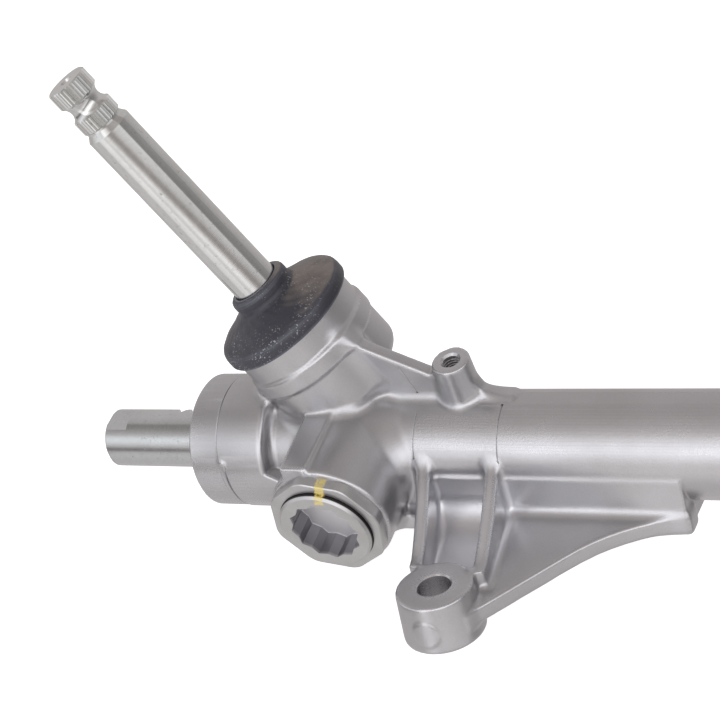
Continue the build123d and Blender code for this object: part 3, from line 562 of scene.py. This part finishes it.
def makeGrooves():
    tools = []
    for name, (at, start, end, radius, half, depth) in grooves.items():
        angle = np.radians(np.linspace(start, end, abs(end - start) + 1))
        outward = np.stack([0 * angle, -np.cos(angle), np.sin(angle)], axis=1)
        tools.append(grooveTool(name, outward * radius + rackDir * at, outward, rackDir, half, depth))
    d = dieOverRib
    run = np.linspace(0, 1, d["count"])
    x, t = (np.interp(run, d["shares"], line) for line in zip(*d["line"]))
    places = x[:, None] * rackDir + t[:, None] * towerDir + guideDir * d["wall"]
    outward = np.tile(guideDir, (d["count"], 1))
    tools.append(grooveTool("die over rib", places, outward, rackDir, d["half"], d["depth"]))
    return tools


# How far the slope is measured and how near a point is to the cast surface to count as on
# it, in millimetres, and the angle in degrees that makes a fold an edge
shading = {"reach": 0.6, "skin": 0.08, "fold": 40}


def readAll(items, name, width=3, kind=np.float32):
    # One direction or number for every item.
    values = np.empty(width * len(items), kind)
    items.foreach_get(name, values)
    return values.reshape(-1, 3) if width == 3 else values


def shadeFrom(piece, grid):
    # Corners on the cast surface take the field's own direction, so that plain faces stay
    # smooth however few triangles they have. Cut faces keep what they have.
    mesh = piece.data
    normals = readAll(mesh.corner_normals, "vector")
    places = readAll(mesh.vertices, "co") / mm - crossing
    vertex = readAll(mesh.loops, "vertex_index", 1, np.int32)
    corners = readAll(mesh.polygons, "loop_total", 1, np.int32)
    turn = np.repeat(readAll(mesh.polygons, "normal"), corners, axis=0)
    slope = grid.slope(places, shading["reach"])[vertex]
    onSkin = (np.abs(grid.at(places)) < shading["skin"])[vertex]
    alike = (slope * turn).sum(axis=1) > math.cos(math.radians(shading["fold"]))
    normals[onSkin & alike] = slope[onSkin & alike]
    mesh.normals_split_custom_set(normals.tolist())


def makeHousing():
    grid = Grid(space["step"])
    castHousing(grid)
    places, triangles, quads = grid.surface()
    piece = meshObject("housing_casting", places, quads.tolist() + triangles.tolist())
    print("housing surface:", len(places), "points")
    closeUp(piece, space["weld"])
    thin(piece, space["triangles"])
    zero = (0.0, 0.0, 0.0)
    cutters = [
        turned("bore", bores["rack"], zero, rackDir, upDir, 128),
        turned("guide bore", bores["guide"], zero, guideDir, rackDir, 128),
        turned("pinion bore", bores["pinion"], toPinion, pinionDir, pinionSide, 128),
    ]
    for edge in ("leftEdge", "rightEdge"):
        cutters.append(turned(edge, bores[edge], zero, rackDir, upDir, 192, loop=True))
    lugX, lugY = casting["lug"]
    for spare in (0.0, layout["lugSpacing"]):
        cutters.append(turned("bolt hole", bores["bolt"], (lugX + spare, lugY, 0), upDir, rackDir, 64))
    bossAt, bossBack, bossTop, _ = casting["boss"]
    bossFoot = rackDir * bossAt - guideDir * bossBack + towerDir * bossTop
    cutters.append(turned("boss hole", threadedHole(**bossThread), bossFoot, towerDir, rackDir, 48))
    cut(piece, cutters + makeGrooves())
    print("housing cut:", len(piece.data.polygons), "faces")
    smoothByAngle(piece, shading["fold"])
    shadeFrom(piece, grid)
    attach(piece, "housing")
    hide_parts("rack_housing")
    return piece


cover = {
    # outer line from the lower edge to the neck, then back down inside; radius and height
    "outside": ((28.3, 59.7), (29.8, 59.7), (30.2, 60.3), (30.2, 62.5), (30.05, 63.9), (29.75, 64.9),
        (29.1, 65.7), (28.2, 66.25), (27.1, 66.7), (24.3, 68.0), (21.1, 69.6), (17.9, 71.2),
        (15.6, 72.35), (14.5, 73.0), (13.7, 73.9), (13.25, 75.2), (13.3, 76.6), (13.25, 78.1),
        (12.9, 79.0), (12.1, 79.7), (10.9, 80.1)),
    "inside": ((10.3, 80.1), (10.0, 79.5), (10.0, 76.9), (11.25, 74.6), (12.45, 71.8), (26.3, 64.9),
        (26.8, 64.3), (27.92, 64.3), (27.92, 60.1)),
    "steps": 288, "pitch": 0.55, "fold": 50,
    "dents": 0.128, "drift": 0.35, "out": 0.45, "up": 0.9, "bump": 0.7,
    # waves round the axis: count, size, share of the drift and phase
    "waves": ((3, 1.0, 1.0, 0), (5, 0.7, -1.3, 1), (11, 0.5, 2.1, 2), (23, 0.25, -3.0, 0)),
}


def refined(points, pitch):
    # The same line with points no further apart than the pitch.
    out = []
    for (r0, s0), (r1, s1) in zip(points, points[1:]):
        count = max(1, math.ceil(math.hypot(r1 - r0, s1 - s0) / pitch))
        out += [(r0 + (r1 - r0) * k / count, s0 + (s1 - s0) * k / count) for k in range(count)]
    return out + [points[-1]]


def makeCover():
    # Turned skin of soft rubber. Dents: waves round the axis whose phase drifts with the
    # radius, weighted by a bump that is nought at the lower edge and at the neck's top.
    outer = np.array(refined(cover["outside"], cover["pitch"]))
    profile = np.vstack([outer, cover["inside"]])
    steps = cover["steps"]
    turn = np.linspace(0, 2 * np.pi, steps, endpoint=False)[None, :]
    share = np.clip(np.arange(len(profile)) / len(outer), 0, 1)[:, None]
    weight = np.where(share < 1, np.sin(np.pi * share) ** cover["bump"], 0)
    drift = profile[:, :1] * cover["drift"]
    waves = sum(size * np.sin(count * turn + part * drift + phase)
                for count, size, part, phase in cover["waves"])
    dents = cover["dents"] * weight * waves
    radius, height = profile[:, :1] + cover["out"] * dents, profile[:, 1:] + cover["up"] * dents
    third = np.cross(pinionDir, pinionSide)
    spoke = np.cos(turn)[..., None] * pinionSide + np.sin(turn)[..., None] * third
    points = toPinion + height[..., None] * pinionDir + radius[..., None] * spoke
    piece = meshObject("rubber_cover", points.reshape(-1, 3), gridFaces(len(profile), steps, wrapRows=True))
    closeUp(piece)
    smoothByAngle(piece, cover["fold"])
    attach(piece, "housing")
    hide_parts("pinion_dust_cover")
    print("dust cover:", len(piece.data.polygons), "faces")
    return piece


placeCamera()
housing = makeHousing()
dustCover = makeCover()


def shaderGroup(name, inputs, outputs):
    # A node group that reads Where and its own inputs, and gives numbers.
    tree = bpy.data.node_groups.new(name, "ShaderNodeTree")
    for label, value in {"Where": (0, 0, 0), **inputs}.items():
        kind = "NodeSocketVector" if isinstance(value, tuple) else "NodeSocketFloat"
        tree.interface.new_socket(label, in_out="INPUT", socket_type=kind).default_value = value
    for label in outputs:
        tree.interface.new_socket(label, in_out="OUTPUT", socket_type="NodeSocketFloat")
    source, out = (tree.nodes.new("NodeGroup" + end) for end in ("Input", "Output"))
    return Wiring(tree), source.outputs, out.inputs


class Wiring:
    # Adds nodes to a tree. A value that is a socket is linked, and any other is set.
    def __init__(self, tree):
        self.tree = tree

    def feed(self, socket, value):
        if isinstance(value, bpy.types.NodeSocket):
            self.tree.links.new(value, socket)
        else:
            socket.default_value = (*value, 1) if socket.type == "RGBA" else value

    def node(self, kind, inputs=None, output=0, **settings):
        made = self.tree.nodes.new("ShaderNode" + kind)
        for key, value in settings.items():
            setattr(made, key, value)
        for key, value in (inputs or {}).items():
            self.feed(made.inputs[key], value)
        return made.outputs[output]

    def math(self, operation, a, b=0.0):
        return self.node("Math", {0: a, 1: b}, operation=operation)

    def plus(self, a, b):
        return self.math("ADD", a, b)

    def minus(self, a, b):
        return self.math("SUBTRACT", a, b)

    def times(self, made, *others):
        for other in others:
            made = self.math("MULTIPLY", made, other)
        return made

    def noise(self, where, scale, detail=2.0, rough=0.5):
        inputs = {"Vector": where, "Scale": scale, "Detail": detail, "Roughness": rough}
        return self.node("TexNoise", inputs)

    def spread(self, value, low, high, toLow=0.0, toHigh=1.0, smooth=False):
        return self.node("MapRange", {0: value, 1: low, 2: high, 3: toLow, 4: toHigh},
                         interpolation_type="SMOOTHSTEP" if smooth else "LINEAR")

    def fade(self, value, start, full):
        # 0 to 1 between two places in millimetres
        return self.spread(value, start * mm, full * mm)

    def mix(self, share, a, b, blend="MIX"):
        made = self.tree.nodes.new("ShaderNodeMix")
        made.data_type = "RGBA"
        made.blend_type = blend
        for key, value in ((0, share), (6, a), (7, b)):
            self.feed(made.inputs[key], value)
        return made.outputs[2]

    def along(self, where, direction):
        return self.node("VectorMath", {0: where, 1: tuple(direction)}, output=1, operation="DOT_PRODUCT")


def castGrainGroup():
    # Height and tone of blasted castings: fine grain over broad clouds.
    w, source, out = shaderGroup("castGrain", {"Grain": 1400.0, "Cloud": 28.0}, ("Height", "Tone"))
    where = source["Where"]
    grain = w.noise(where, source["Grain"], 3.0, 0.6)
    cloud = w.noise(where, source["Cloud"], 4.0, 0.6)
    w.feed(out["Height"], grain)
    w.feed(out["Tone"], w.plus(w.times(grain, 0.35), w.times(cloud, 0.65)))
    return w.tree


def wearSheenAndShadeGroup():
    # Outer edges lighter, partly wear and partly a painted highlight, and hollows darker with painted
    # shade, broken up by noise.
    w, source, out = shaderGroup("edgeWearSheenAndShade", {"Sharp": 0.03}, ("Edge", "HollowShade"))
    point = w.node("NewGeometry", output="Pointiness")
    patch = w.spread(w.noise(source["Where"], 160.0, 3.0), 0.3, 0.7, 0.5, 1.0)
    edge = w.spread(point, 0.5, w.plus(0.5, source["Sharp"]), smooth=True)
    hollowshade = w.spread(point, 0.5, w.minus(0.5, source["Sharp"]), smooth=True)
    w.feed(out["Edge"], w.times(edge, patch))
    w.feed(out["HollowShade"], hollowshade)
    return w.tree


def turnedGroup():
    # Fine rings left by turning or grinding: noise read along one direction only.
    w, source, out = shaderGroup("turnedRings", {"Axis": (0, 0, 1), "Rings": 2500.0}, ("Height",))
    ends = {0: source["Where"], 1: source["Axis"]}
    along = w.node("VectorMath", ends, output=1, operation="DOT_PRODUCT")
    place = w.node("CombineXYZ", {0: along, 1: 0.0, 2: 0.0})
    fine = w.noise(place, source["Rings"], 2.0)
    waver = w.noise(source["Where"], 300.0, 2.0)
    w.feed(out["Height"], w.times(fine, w.spread(waver, 0.2, 0.8, 0.6, 1.0)))
    return w.tree


def dustAndTopReflectionGroup():
    # A film on what faces up, partly dust and partly a painted reflection of the brownish room above, and
    # specks of dust all over.
    w, source, out = shaderGroup("dustAndTopReflection", {"Specks": 900.0}, ("DustAndReflection", "Speck"))
    where = source["Where"]
    facing = w.node("SeparateXYZ", {0: w.node("NewGeometry", output="Normal")}, output=2)
    dustAndReflection = w.times(w.spread(facing, 0.89, 1.0), w.spread(w.noise(where, 60.0, 5.0, 0.65), 0.15, 0.5))
    speck = w.spread(w.noise(where, source["Specks"], 1.0), 0.64, 0.71)
    clump = w.spread(w.noise(where, 70.0, 3.0), 0.42, 0.65)
    w.feed(out["DustAndReflection"], dustAndReflection)
    w.feed(out["Speck"], w.times(speck, clump))
    return w.tree


groups = {"grain": castGrainGroup(), "wearSheenAndShade": wearSheenAndShadeGroup(), "rings": turnedGroup(), "dustAndTopReflection": dustAndTopReflectionGroup()}


def finish(name, **constants):
    # A material with its wiring, its shader's inputs and the coordinates its patterns read.
    material = bpy.data.materials.new(name)
    material.use_nodes = True
    w = Wiring(material.node_tree)
    shader = material.node_tree.nodes["Principled BSDF"].inputs
    for key, value in constants.items():
        shader[key.replace("_", " ")].default_value = value
    where = w.node("TexCoord", output="Object")
    return material, w, shader, where


def placed(w, group, where, **inputs):
    made = w.tree.nodes.new("ShaderNodeGroup")
    made.node_tree = groups[group]
    for key, value in {"Where": where, **inputs}.items():
        w.feed(made.inputs[key], value)
    return made.outputs


def coated(w, shader, colour, rough, height, distance, strength):
    ways = {"Height": height, "Distance": distance, "Strength": strength}
    for name, value in (("Base Color", colour), ("Roughness", rough), ("Normal", w.node("Bump", ways))):
        w.feed(shader[name], value)


def fromCrossing(w, where, directions=(rackDir, towerDir, guideDir)):
    # Metres from the crossing along each direction.
    return [w.plus(w.along(where, d), -float(np.dot(crossing, d)) * mm) for d in directions]


aluminium = {
    "light": (0.53, 0.53, 0.545), "dark": (0.46, 0.455, 0.46),
    # the edge colour is for worn edges and also paints a highlight; the hollow colour is painted shade
    "edge": (0.70, 0.70, 0.72), "hollowshade": (0.25, 0.24, 0.235), "edgeAndHollowShare": 0.25, "metal": 0.92,
    # the painted light over the ribs and pocket, in millimetres: along the rack from a lug's
    # middle, back from the rack's axis and up from it, as where it starts and where it is full
    "pocketLight": (0.66, 0.66, 0.68),
    "near": (-17, -13), "far": (28, 24), "tube": (-19.5, -21.0), "lug": (-62, -54), "top": (0.0, -5.0),
}


def pocketPaintedLight(w, where):
    # The ribs and pocket between them, from tube to lug, get painted light over their shade.
    across, back, height = fromCrossing(w, where, (rackDir, backDir, upDir))
    half = layout["lugSpacing"] / 2
    fromMiddle = w.math("ABSOLUTE", w.minus(across, (casting["lug"][0] + half) * mm))
    near, far = ([half + place for place in aluminium[side]] for side in ("near", "far"))
    return w.times(
        w.fade(fromMiddle, *near), w.fade(fromMiddle, *far), w.fade(back, *aluminium["tube"]),
        w.fade(height, *aluminium["top"]), w.fade(back, *aluminium["lug"]))


def castAluminium():
    material, w, shader, where = finish("cast aluminium", Metallic=aluminium["metal"])
    grain = placed(w, "grain", where, Grain=1500.0, Cloud=26.0)
    wearSheenAndShade = placed(w, "wearSheenAndShade", where, Sharp=0.05)
    tone = w.spread(grain["Tone"], 0.35, 0.65)
    colour = w.mix(tone, aluminium["dark"], aluminium["light"])
    # Edges lightened, partly wear and partly a painted highlight; hollows darkened with painted shade.
    for place in ("Edge", "HollowShade"):
        colour = w.mix(w.times(wearSheenAndShade[place], aluminium["edgeAndHollowShare"]), colour, aluminium[place.lower()])
    # Painted light over the ribs and pocket, which lie in shade.
    colour = w.mix(pocketPaintedLight(w, where), colour, aluminium["pocketLight"])
    rough = w.minus(w.spread(tone, 0.0, 1.0, 0.34, 0.28), w.times(wearSheenAndShade["Edge"], 0.06))
    coated(w, shader, colour, rough, grain["Height"], 0.00012, 0.5)
    return material


paint = {
    "colour": (0.66, 0.53, 0.15),
    # in millimetres; a pair is where the stroke starts and where it is full
    "middle": 3.4, "slope": 0.18, "foot": 15.5, "edge": (2.1, 1.7), "ragged": 2.2,
    "start": (15.5, 16.1), "end": (26.2, 25.4), "out": (43.5, 44.5),
}
socket = {
    # in millimetres out of the guide bore and round it, and from the joint of plug and nut
    "floor": (38.75, 40.25), "mouth": (51.0, 49.8), "radius": 15.5,
    "joint": 19.6, "gapShade": (0.38, 0.10), "gapShadeTop": (50.3, 50.0), "gapShadeFoot": 44.0,
}
machined = {
    "dark": (0.46, 0.455, 0.45), "light": (0.56, 0.56, 0.56), "metal": 0.9,
    # the socket's wall colour is painted shade and its floor colour painted light; the darkest colour is
    # painted shade in the gap between plug and nut
    "wall": (0.27, 0.26, 0.28), "floor": (0.80, 0.80, 0.81), "gapShade": (0.04, 0.035, 0.035),
}


def paintMark(w, where):
    # One brush stroke outwards over the plug's rim and the nut: close to a leaning line across
    # the rack, between two distances towards the tower, and broken up by noise.
    across, up, out = fromCrossing(w, where)
    line = w.times(w.minus(up, paint["foot"] * mm), paint["slope"])
    line = w.plus(paint["middle"] * mm, line)
    ragged = w.times(w.minus(w.noise(where, 700.0, 3.0), 0.5), paint["ragged"] * mm)
    aside = w.plus(w.math("ABSOLUTE", w.minus(across, line)), ragged)
    broken = w.spread(w.noise(where, 1500.0, 3.0, 0.7), 0.40, 0.52, 0.15, 1.0)
    return w.times(w.fade(aside, *paint["edge"]), w.fade(up, *paint["start"]),
                     w.fade(up, *paint["end"]), w.fade(out, *paint["out"]), broken)


def socketLightAndShade(w, where):
    # The plug's socket: its floor painted light, its walls painted dark as shade, and painted
    # shade in the ring between plug and nut.
    across, up, out = fromCrossing(w, where)
    girth = w.math("SQRT", w.plus(w.times(across, across), w.times(up, up)))
    within = w.math("LESS_THAN", girth, socket["radius"] * mm)
    low, high = (level * mm for level in socket["floor"])
    floor = w.times(within, w.math("GREATER_THAN", out, low), w.math("LESS_THAN", out, high))
    wall = w.times(within, w.math("GREATER_THAN", out, high), w.fade(out, *socket["mouth"]))
    fromJoint = w.math("ABSOLUTE", w.minus(girth, socket["joint"] * mm))
    gapShade = w.times(w.fade(fromJoint, *socket["gapShade"]), w.fade(out, *socket["gapShadeTop"]))
    return floor, wall, w.times(gapShade, w.math("GREATER_THAN", out, socket["gapShadeFoot"] * mm))


def machinedAluminium(name, axis, painted):
    material, w, shader, where = finish(name)
    grain = placed(w, "grain", where, Grain=2200.0, Cloud=60.0)
    rings = placed(w, "rings", where, Axis=tuple(axis), Rings=1800.0)
    tone = w.spread(grain["Tone"], 0.35, 0.65)
    colour = w.mix(tone, machined["dark"], machined["light"])
    rough = w.spread(rings["Height"], 0.2, 0.8, 0.30, 0.42)
    metal = machined["metal"]
    if painted:
        # Painted light on the socket's floor, painted shade on its walls and in the gap between plug and
        # nut.
        floor, wall, gapShade = socketLightAndShade(w, where)
        colour = w.mix(floor, w.mix(wall, colour, machined["wall"]), machined["floor"])
        colour = w.mix(gapShade, colour, machined["gapShade"])
        rough = w.plus(rough, w.times(floor, 0.25))
        stroke = paintMark(w, where)
        colour = w.mix(stroke, colour, paint["colour"])
        rough = w.plus(rough, w.times(stroke, 0.15))
        metal = w.spread(stroke, 0.0, 1.0, metal, 0.0)
    w.feed(shader["Metallic"], metal)
    relief = w.plus(rings["Height"], w.times(grain["Height"], 0.6))
    coated(w, shader, colour, rough, relief, 0.00008, 0.4)
    return material


def groundSteel(name, axis, light, dark, rough):
    material, w, shader, where = finish(name, Metallic=1.0)
    grain = placed(w, "grain", where, Grain=900.0, Cloud=40.0)
    rings = placed(w, "rings", where, Axis=tuple(axis), Rings=3000.0)
    tone = w.spread(grain["Tone"], 0.32, 0.68)
    spots = w.spread(w.noise(where, 420.0, 4.0, 0.7), 0.60, 0.72)
    colour = w.mix(tone, dark, light)
    colour = w.mix(w.times(spots, 0.35), colour, (0.16, 0.14, 0.11))
    shine = w.spread(rings["Height"], 0.2, 0.8, rough - 0.05, rough + 0.07)
    shine = w.plus(shine, w.times(spots, 0.12))
    coated(w, shader, colour, shine, rings["Height"], 0.00005, 0.35)
    return material


def rubber(name, body, dustAndReflection, rough, dustAndSheen):
    material, w, shader, where = finish(name, Specular_IOR_Level=0.6)
    grain = placed(w, "grain", where, Grain=700.0, Cloud=60.0)
    dustAndTopReflection = placed(w, "dustAndTopReflection", where, Specks=1300.0)
    colour = w.mix(w.spread(grain["Tone"], 0.3, 0.7), tuple(0.65 * c for c in body), body)
    # A film on what faces up: dust with a painted reflection of the brownish room.
    colour = w.mix(w.times(dustAndTopReflection["DustAndReflection"], dustAndSheen), colour, dustAndReflection)
    colour = w.mix(w.times(dustAndTopReflection["Speck"], dustAndSheen), colour, (0.42, 0.42, 0.44))
    wearSheenAndShade = placed(w, "wearSheenAndShade", where, Sharp=0.06)
    # Edges lighter and bluish: dust rubbed on them and a painted highlight.
    colour = w.mix(w.times(wearSheenAndShade["Edge"], 0.9 * dustAndSheen), colour, (0.22, 0.23, 0.27))
    rough = w.spread(grain["Tone"], 0.3, 0.7, rough + 0.08, rough - 0.06)
    coated(w, shader, colour, rough, grain["Height"], 0.00025, 0.5)
    return material


plainSteel = {"scales": (1800.0, 150.0), "more": 0.08, "relief": (0.00003, 0.3), "Metallic": 1.0}
plastic = {"scales": (1200.0, 80.0), "more": 0.1, "relief": (0.00005, 0.4)}


def plain(name, light, dark, rough, scales, more, relief, **constants):
    material, w, shader, where = finish(name, **constants)
    grain = placed(w, "grain", where, Grain=scales[0], Cloud=scales[1])
    colour = w.mix(w.spread(grain["Tone"], 0.35, 0.65), dark, light)
    rough = w.spread(grain["Height"], 0.3, 0.7, rough, rough + more)
    coated(w, shader, colour, rough, grain["Height"], *relief)
    return material


finishes = {
    "cast": castAluminium(),
    "machined": machinedAluminium("machined aluminium", guideDir, True),
    "plug": machinedAluminium("turned aluminium", pinionDir, False),
    "shaft": groundSteel("shaft steel", pinionDir, (0.70, 0.71, 0.70), (0.60, 0.61, 0.59), 0.14),
    "bar": groundSteel("rack bar steel", rackDir, (0.62, 0.64, 0.64), (0.54, 0.55, 0.55), 0.20),
    "polished": plain("bearing steel", (0.70, 0.70, 0.72), (0.62, 0.62, 0.64), 0.16, **plainSteel),
    "wire": plain("spring steel", (0.22, 0.22, 0.24), (0.13, 0.13, 0.14), 0.35, **plainSteel),
    # Its third colour is the film on what faces up: dust with a painted reflection of the brownish room.
    "cover": rubber("cover rubber", (0.028, 0.029, 0.041), (0.18, 0.15, 0.13), 0.42, 0.9),
    "seal": rubber("seal rubber", (0.03, 0.028, 0.027), (0.08, 0.07, 0.06), 0.5, 0.2),
    "bush": plain("bush plastic", (0.72, 0.69, 0.60), (0.62, 0.59, 0.50), 0.45, **plastic),
    "liner": plain("liner polymer", (0.30, 0.18, 0.12), (0.20, 0.12, 0.08), 0.5, **plastic),
}
dressing = {
    "bar": ["rack_bar"], "shaft": ["pinion_shaft"], "plug": ["pinion_lock_plug"],
    "machined": ["rack_guide_plug", "rack_guide_lock_nut", "rack_guide"],
    "polished": ["upper_bearing_inner_race", "upper_bearing_outer_race", "upper_bearing_balls",
                 "lower_bearing_cup", "lower_bearing_needles"],
    "wire": ["upper_bearing_cage", "bearing_circlip", "pinion_seal_spring", "rack_guide_spring",
             "rack_bush_retainer"],
    "seal": ["pinion_oil_seal", "rack_guide_o_rings", "plug_o_ring", "rack_bush_o_rings"],
    "bush": ["rack_bush"], "liner": ["rack_guide_liner"],
}


def dress(piece, material):
    piece.data.materials.clear()
    piece.data.materials.append(material)


for look, nodes in dressing.items():
    for node in nodes:
        dress(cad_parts[node], finishes[look])
dress(housing, finishes["cast"])
dress(dustCover, finishes["cover"])
print("finishes:", len(finishes))

# Room that the part mirrors: brightness by height in degrees, from straight below (-90) past
# the horizon (0) to overhead (90) in front, and on down to the horizon behind (180); then
# from left to right, in front and behind. Beside takes the place of height left of the middle.
studio = {
    "height": ((-180, 0.58), (-120, 0.66), (-90, 0.66), (-53, 0.67), (-34, 0.75), (-22, 0.74),
        (-15.5, 0.27), (-9, 0.27), (-4.5, 0.60), (3, 0.86), (10, 1.08), (16, 1.22), (23, 1.22),
        (29, 1.05), (35, 0.75), (41, 0.60), (47, 0.45), (55, 0.34), (75, 0.36), (90, 0.40),
        (118, 0.44), (128, 0.60), (136, 0.66), (165, 0.64), (180, 0.58)),
    "beside": ((-180, 0.58), (-120, 0.74), (-90, 0.76), (-64, 0.78), (-46, 0.82), (-38, 1.0),
        (-30, 1.02), (-22, 0.90), (-15.5, 0.78), (-9, 0.85), (-1, 1.12), (7, 1.34), (15, 1.44),
        (23, 1.42), (30, 1.25), (38, 1.0), (45, 0.78), (52, 0.62), (59, 0.52), (69, 0.44),
        (90, 0.46), (115, 0.50), (128, 0.60), (141, 0.66), (165, 0.64), (180, 0.56)),
    "front": ((-1, 0.9), (-0.55, 0.88), (-0.47, 0.97), (-0.40, 1.35), (-0.3, 1.5), (-0.1, 1.4),
        (0.07, 1.4), (0.25, 1.7), (0.5, 1.6), (0.85, 1.3), (1, 1.0)),
    "behind": ((-1, 1.0), (0.3, 1.0), (0.5, 0.93), (0.68, 0.75), (0.82, 0.62), (0.97, 0.5), (1, 0.5)),
    # where one gives way to the next: beside by x at both its ends, front by z, behind by y
    "besideLeft": (-0.48, -0.42), "besideRight": (0.0, -0.12),
    "frontAbove": (-0.6, -0.4), "behindPast": (-0.04, 0.04),
    "tilt": 3.0, "warm": (1.0, 0.90, 0.86), "cool": (0.96, 0.965, 1.0),
    "floorHalf": 6.0, "floorDepth": -0.0006, "floorTone": 0.80, "floorGlow": 0.80,
}


def grey(value):
    return (value, value, value)


def makeFloor():
    # Plain white to the camera but for the part's faint shade; the room shows in reflections.
    half, depth = studio["floorHalf"], studio["floorDepth"]
    corners = [(x * half, y * half, depth) for x, y in ((-1, -1), (1, -1), (1, 1), (-1, 1))]
    floor = meshObject("floor", corners, [(0, 1, 2, 3)], toMetres=False)
    material, w, shader, where = finish("pale floor", Roughness=0.9)
    w.feed(shader["Base Color"], grey(studio["floorTone"]))
    w.feed(shader["Emission Color"], grey(1))
    path = material.node_tree.nodes.new("ShaderNodeLightPath")
    glow = w.times(path.outputs["Is Camera Ray"], studio["floorGlow"])
    w.feed(shader["Emission Strength"], glow)
    dress(floor, material)
    floor.visible_glossy = False


def stops(w, value, table, low, high, tinted=True):
    # A ramp through the table's places; if tinted, bright stops are cool and dim ones warm.
    made = w.tree.nodes.new("ShaderNodeValToRGB")
    w.feed(made.inputs[0], w.spread(value, low, high))
    ramp = made.color_ramp
    top = max(level for _, level in table)
    while len(ramp.elements) < len(table):
        ramp.elements.new(0.5)
    for element, (place, level) in zip(ramp.elements, table):
        element.position = (place - low) / (high - low)
        share = level / top
        tint = [a + (b - a) * share for a, b in zip(studio["warm"], studio["cool"])]
        element.color = (*(share * c for c in tint), 1) if tinted else (*grey(share), 1)
    return made.outputs[0], top


def makeWorld():
    # White where the camera sees it; lit and mirrored, it is the room.
    world = bpy.context.scene.world or bpy.data.worlds.new("studio")
    bpy.context.scene.world = world
    world.use_nodes = True
    w = Wiring(world.node_tree)
    background = world.node_tree.nodes["Background"]
    direction = world.node_tree.nodes.new("ShaderNodeSeparateXYZ")
    w.feed(direction.inputs[0], w.node("TexCoord", output="Generated"))
    x, y, z = direction.outputs
    level = w.math("SQRT", w.minus(1.0, w.times(z, z)))
    way = w.minus(w.times(w.math("LESS_THAN", y, 0.0), 2.0), 1.0)
    angle = w.times(w.math("ARCTAN2", z, w.times(level, way)), 180 / math.pi)
    angle = w.minus(angle, w.times(x, studio["tilt"]))
    around, brightest = stops(w, angle, studio["height"], -180, 180)
    beside, top = stops(w, angle, studio["beside"], -180, 180)
    around = w.mix(1.0, around, grey(brightest / top), "MULTIPLY")
    side = w.times(w.spread(x, *studio["besideLeft"]), w.spread(x, *studio["besideRight"]))
    around = w.mix(side, around, beside)
    front, most = stops(w, x, studio["front"], -1, 1, False)
    behind, _ = stops(w, x, studio["behind"], -1, 1, False)
    behind = w.mix(1.0, behind, grey(1 / most), "MULTIPLY")
    front = w.mix(w.spread(z, *studio["frontAbove"]), grey(1 / most), front)
    around = w.mix(1.0, around, w.mix(w.spread(y, *studio["behindPast"]), front, behind), "MULTIPLY")
    camera = world.node_tree.nodes.new("ShaderNodeLightPath").outputs["Is Camera Ray"]
    w.feed(background.inputs["Color"], w.mix(camera, around, grey(1)))
    w.feed(background.inputs["Strength"], w.spread(camera, 0.0, 1.0, top * most, 1.0))


def lamp(name, place, target, size, power):
    data = bpy.data.lights.new(name, "AREA")
    data.shape = "RECTANGLE"
    data.size, data.size_y = size
    data.energy = power
    light = bpy.data.objects.new(name, data)
    bpy.context.collection.objects.link(light)
    light.location = place
    light.visible_glossy = False
    light.rotation_euler = (Vector(target) - Vector(place)).to_track_quat("-Z", "Y").to_euler()


makeFloor()
makeWorld()
lamp("front", (-0.10, -1.25, 0.25), (0.05, 0.05, 0.03), (0.6, 0.4), 6.0)
bpy.context.scene.view_settings.view_transform = "Standard"
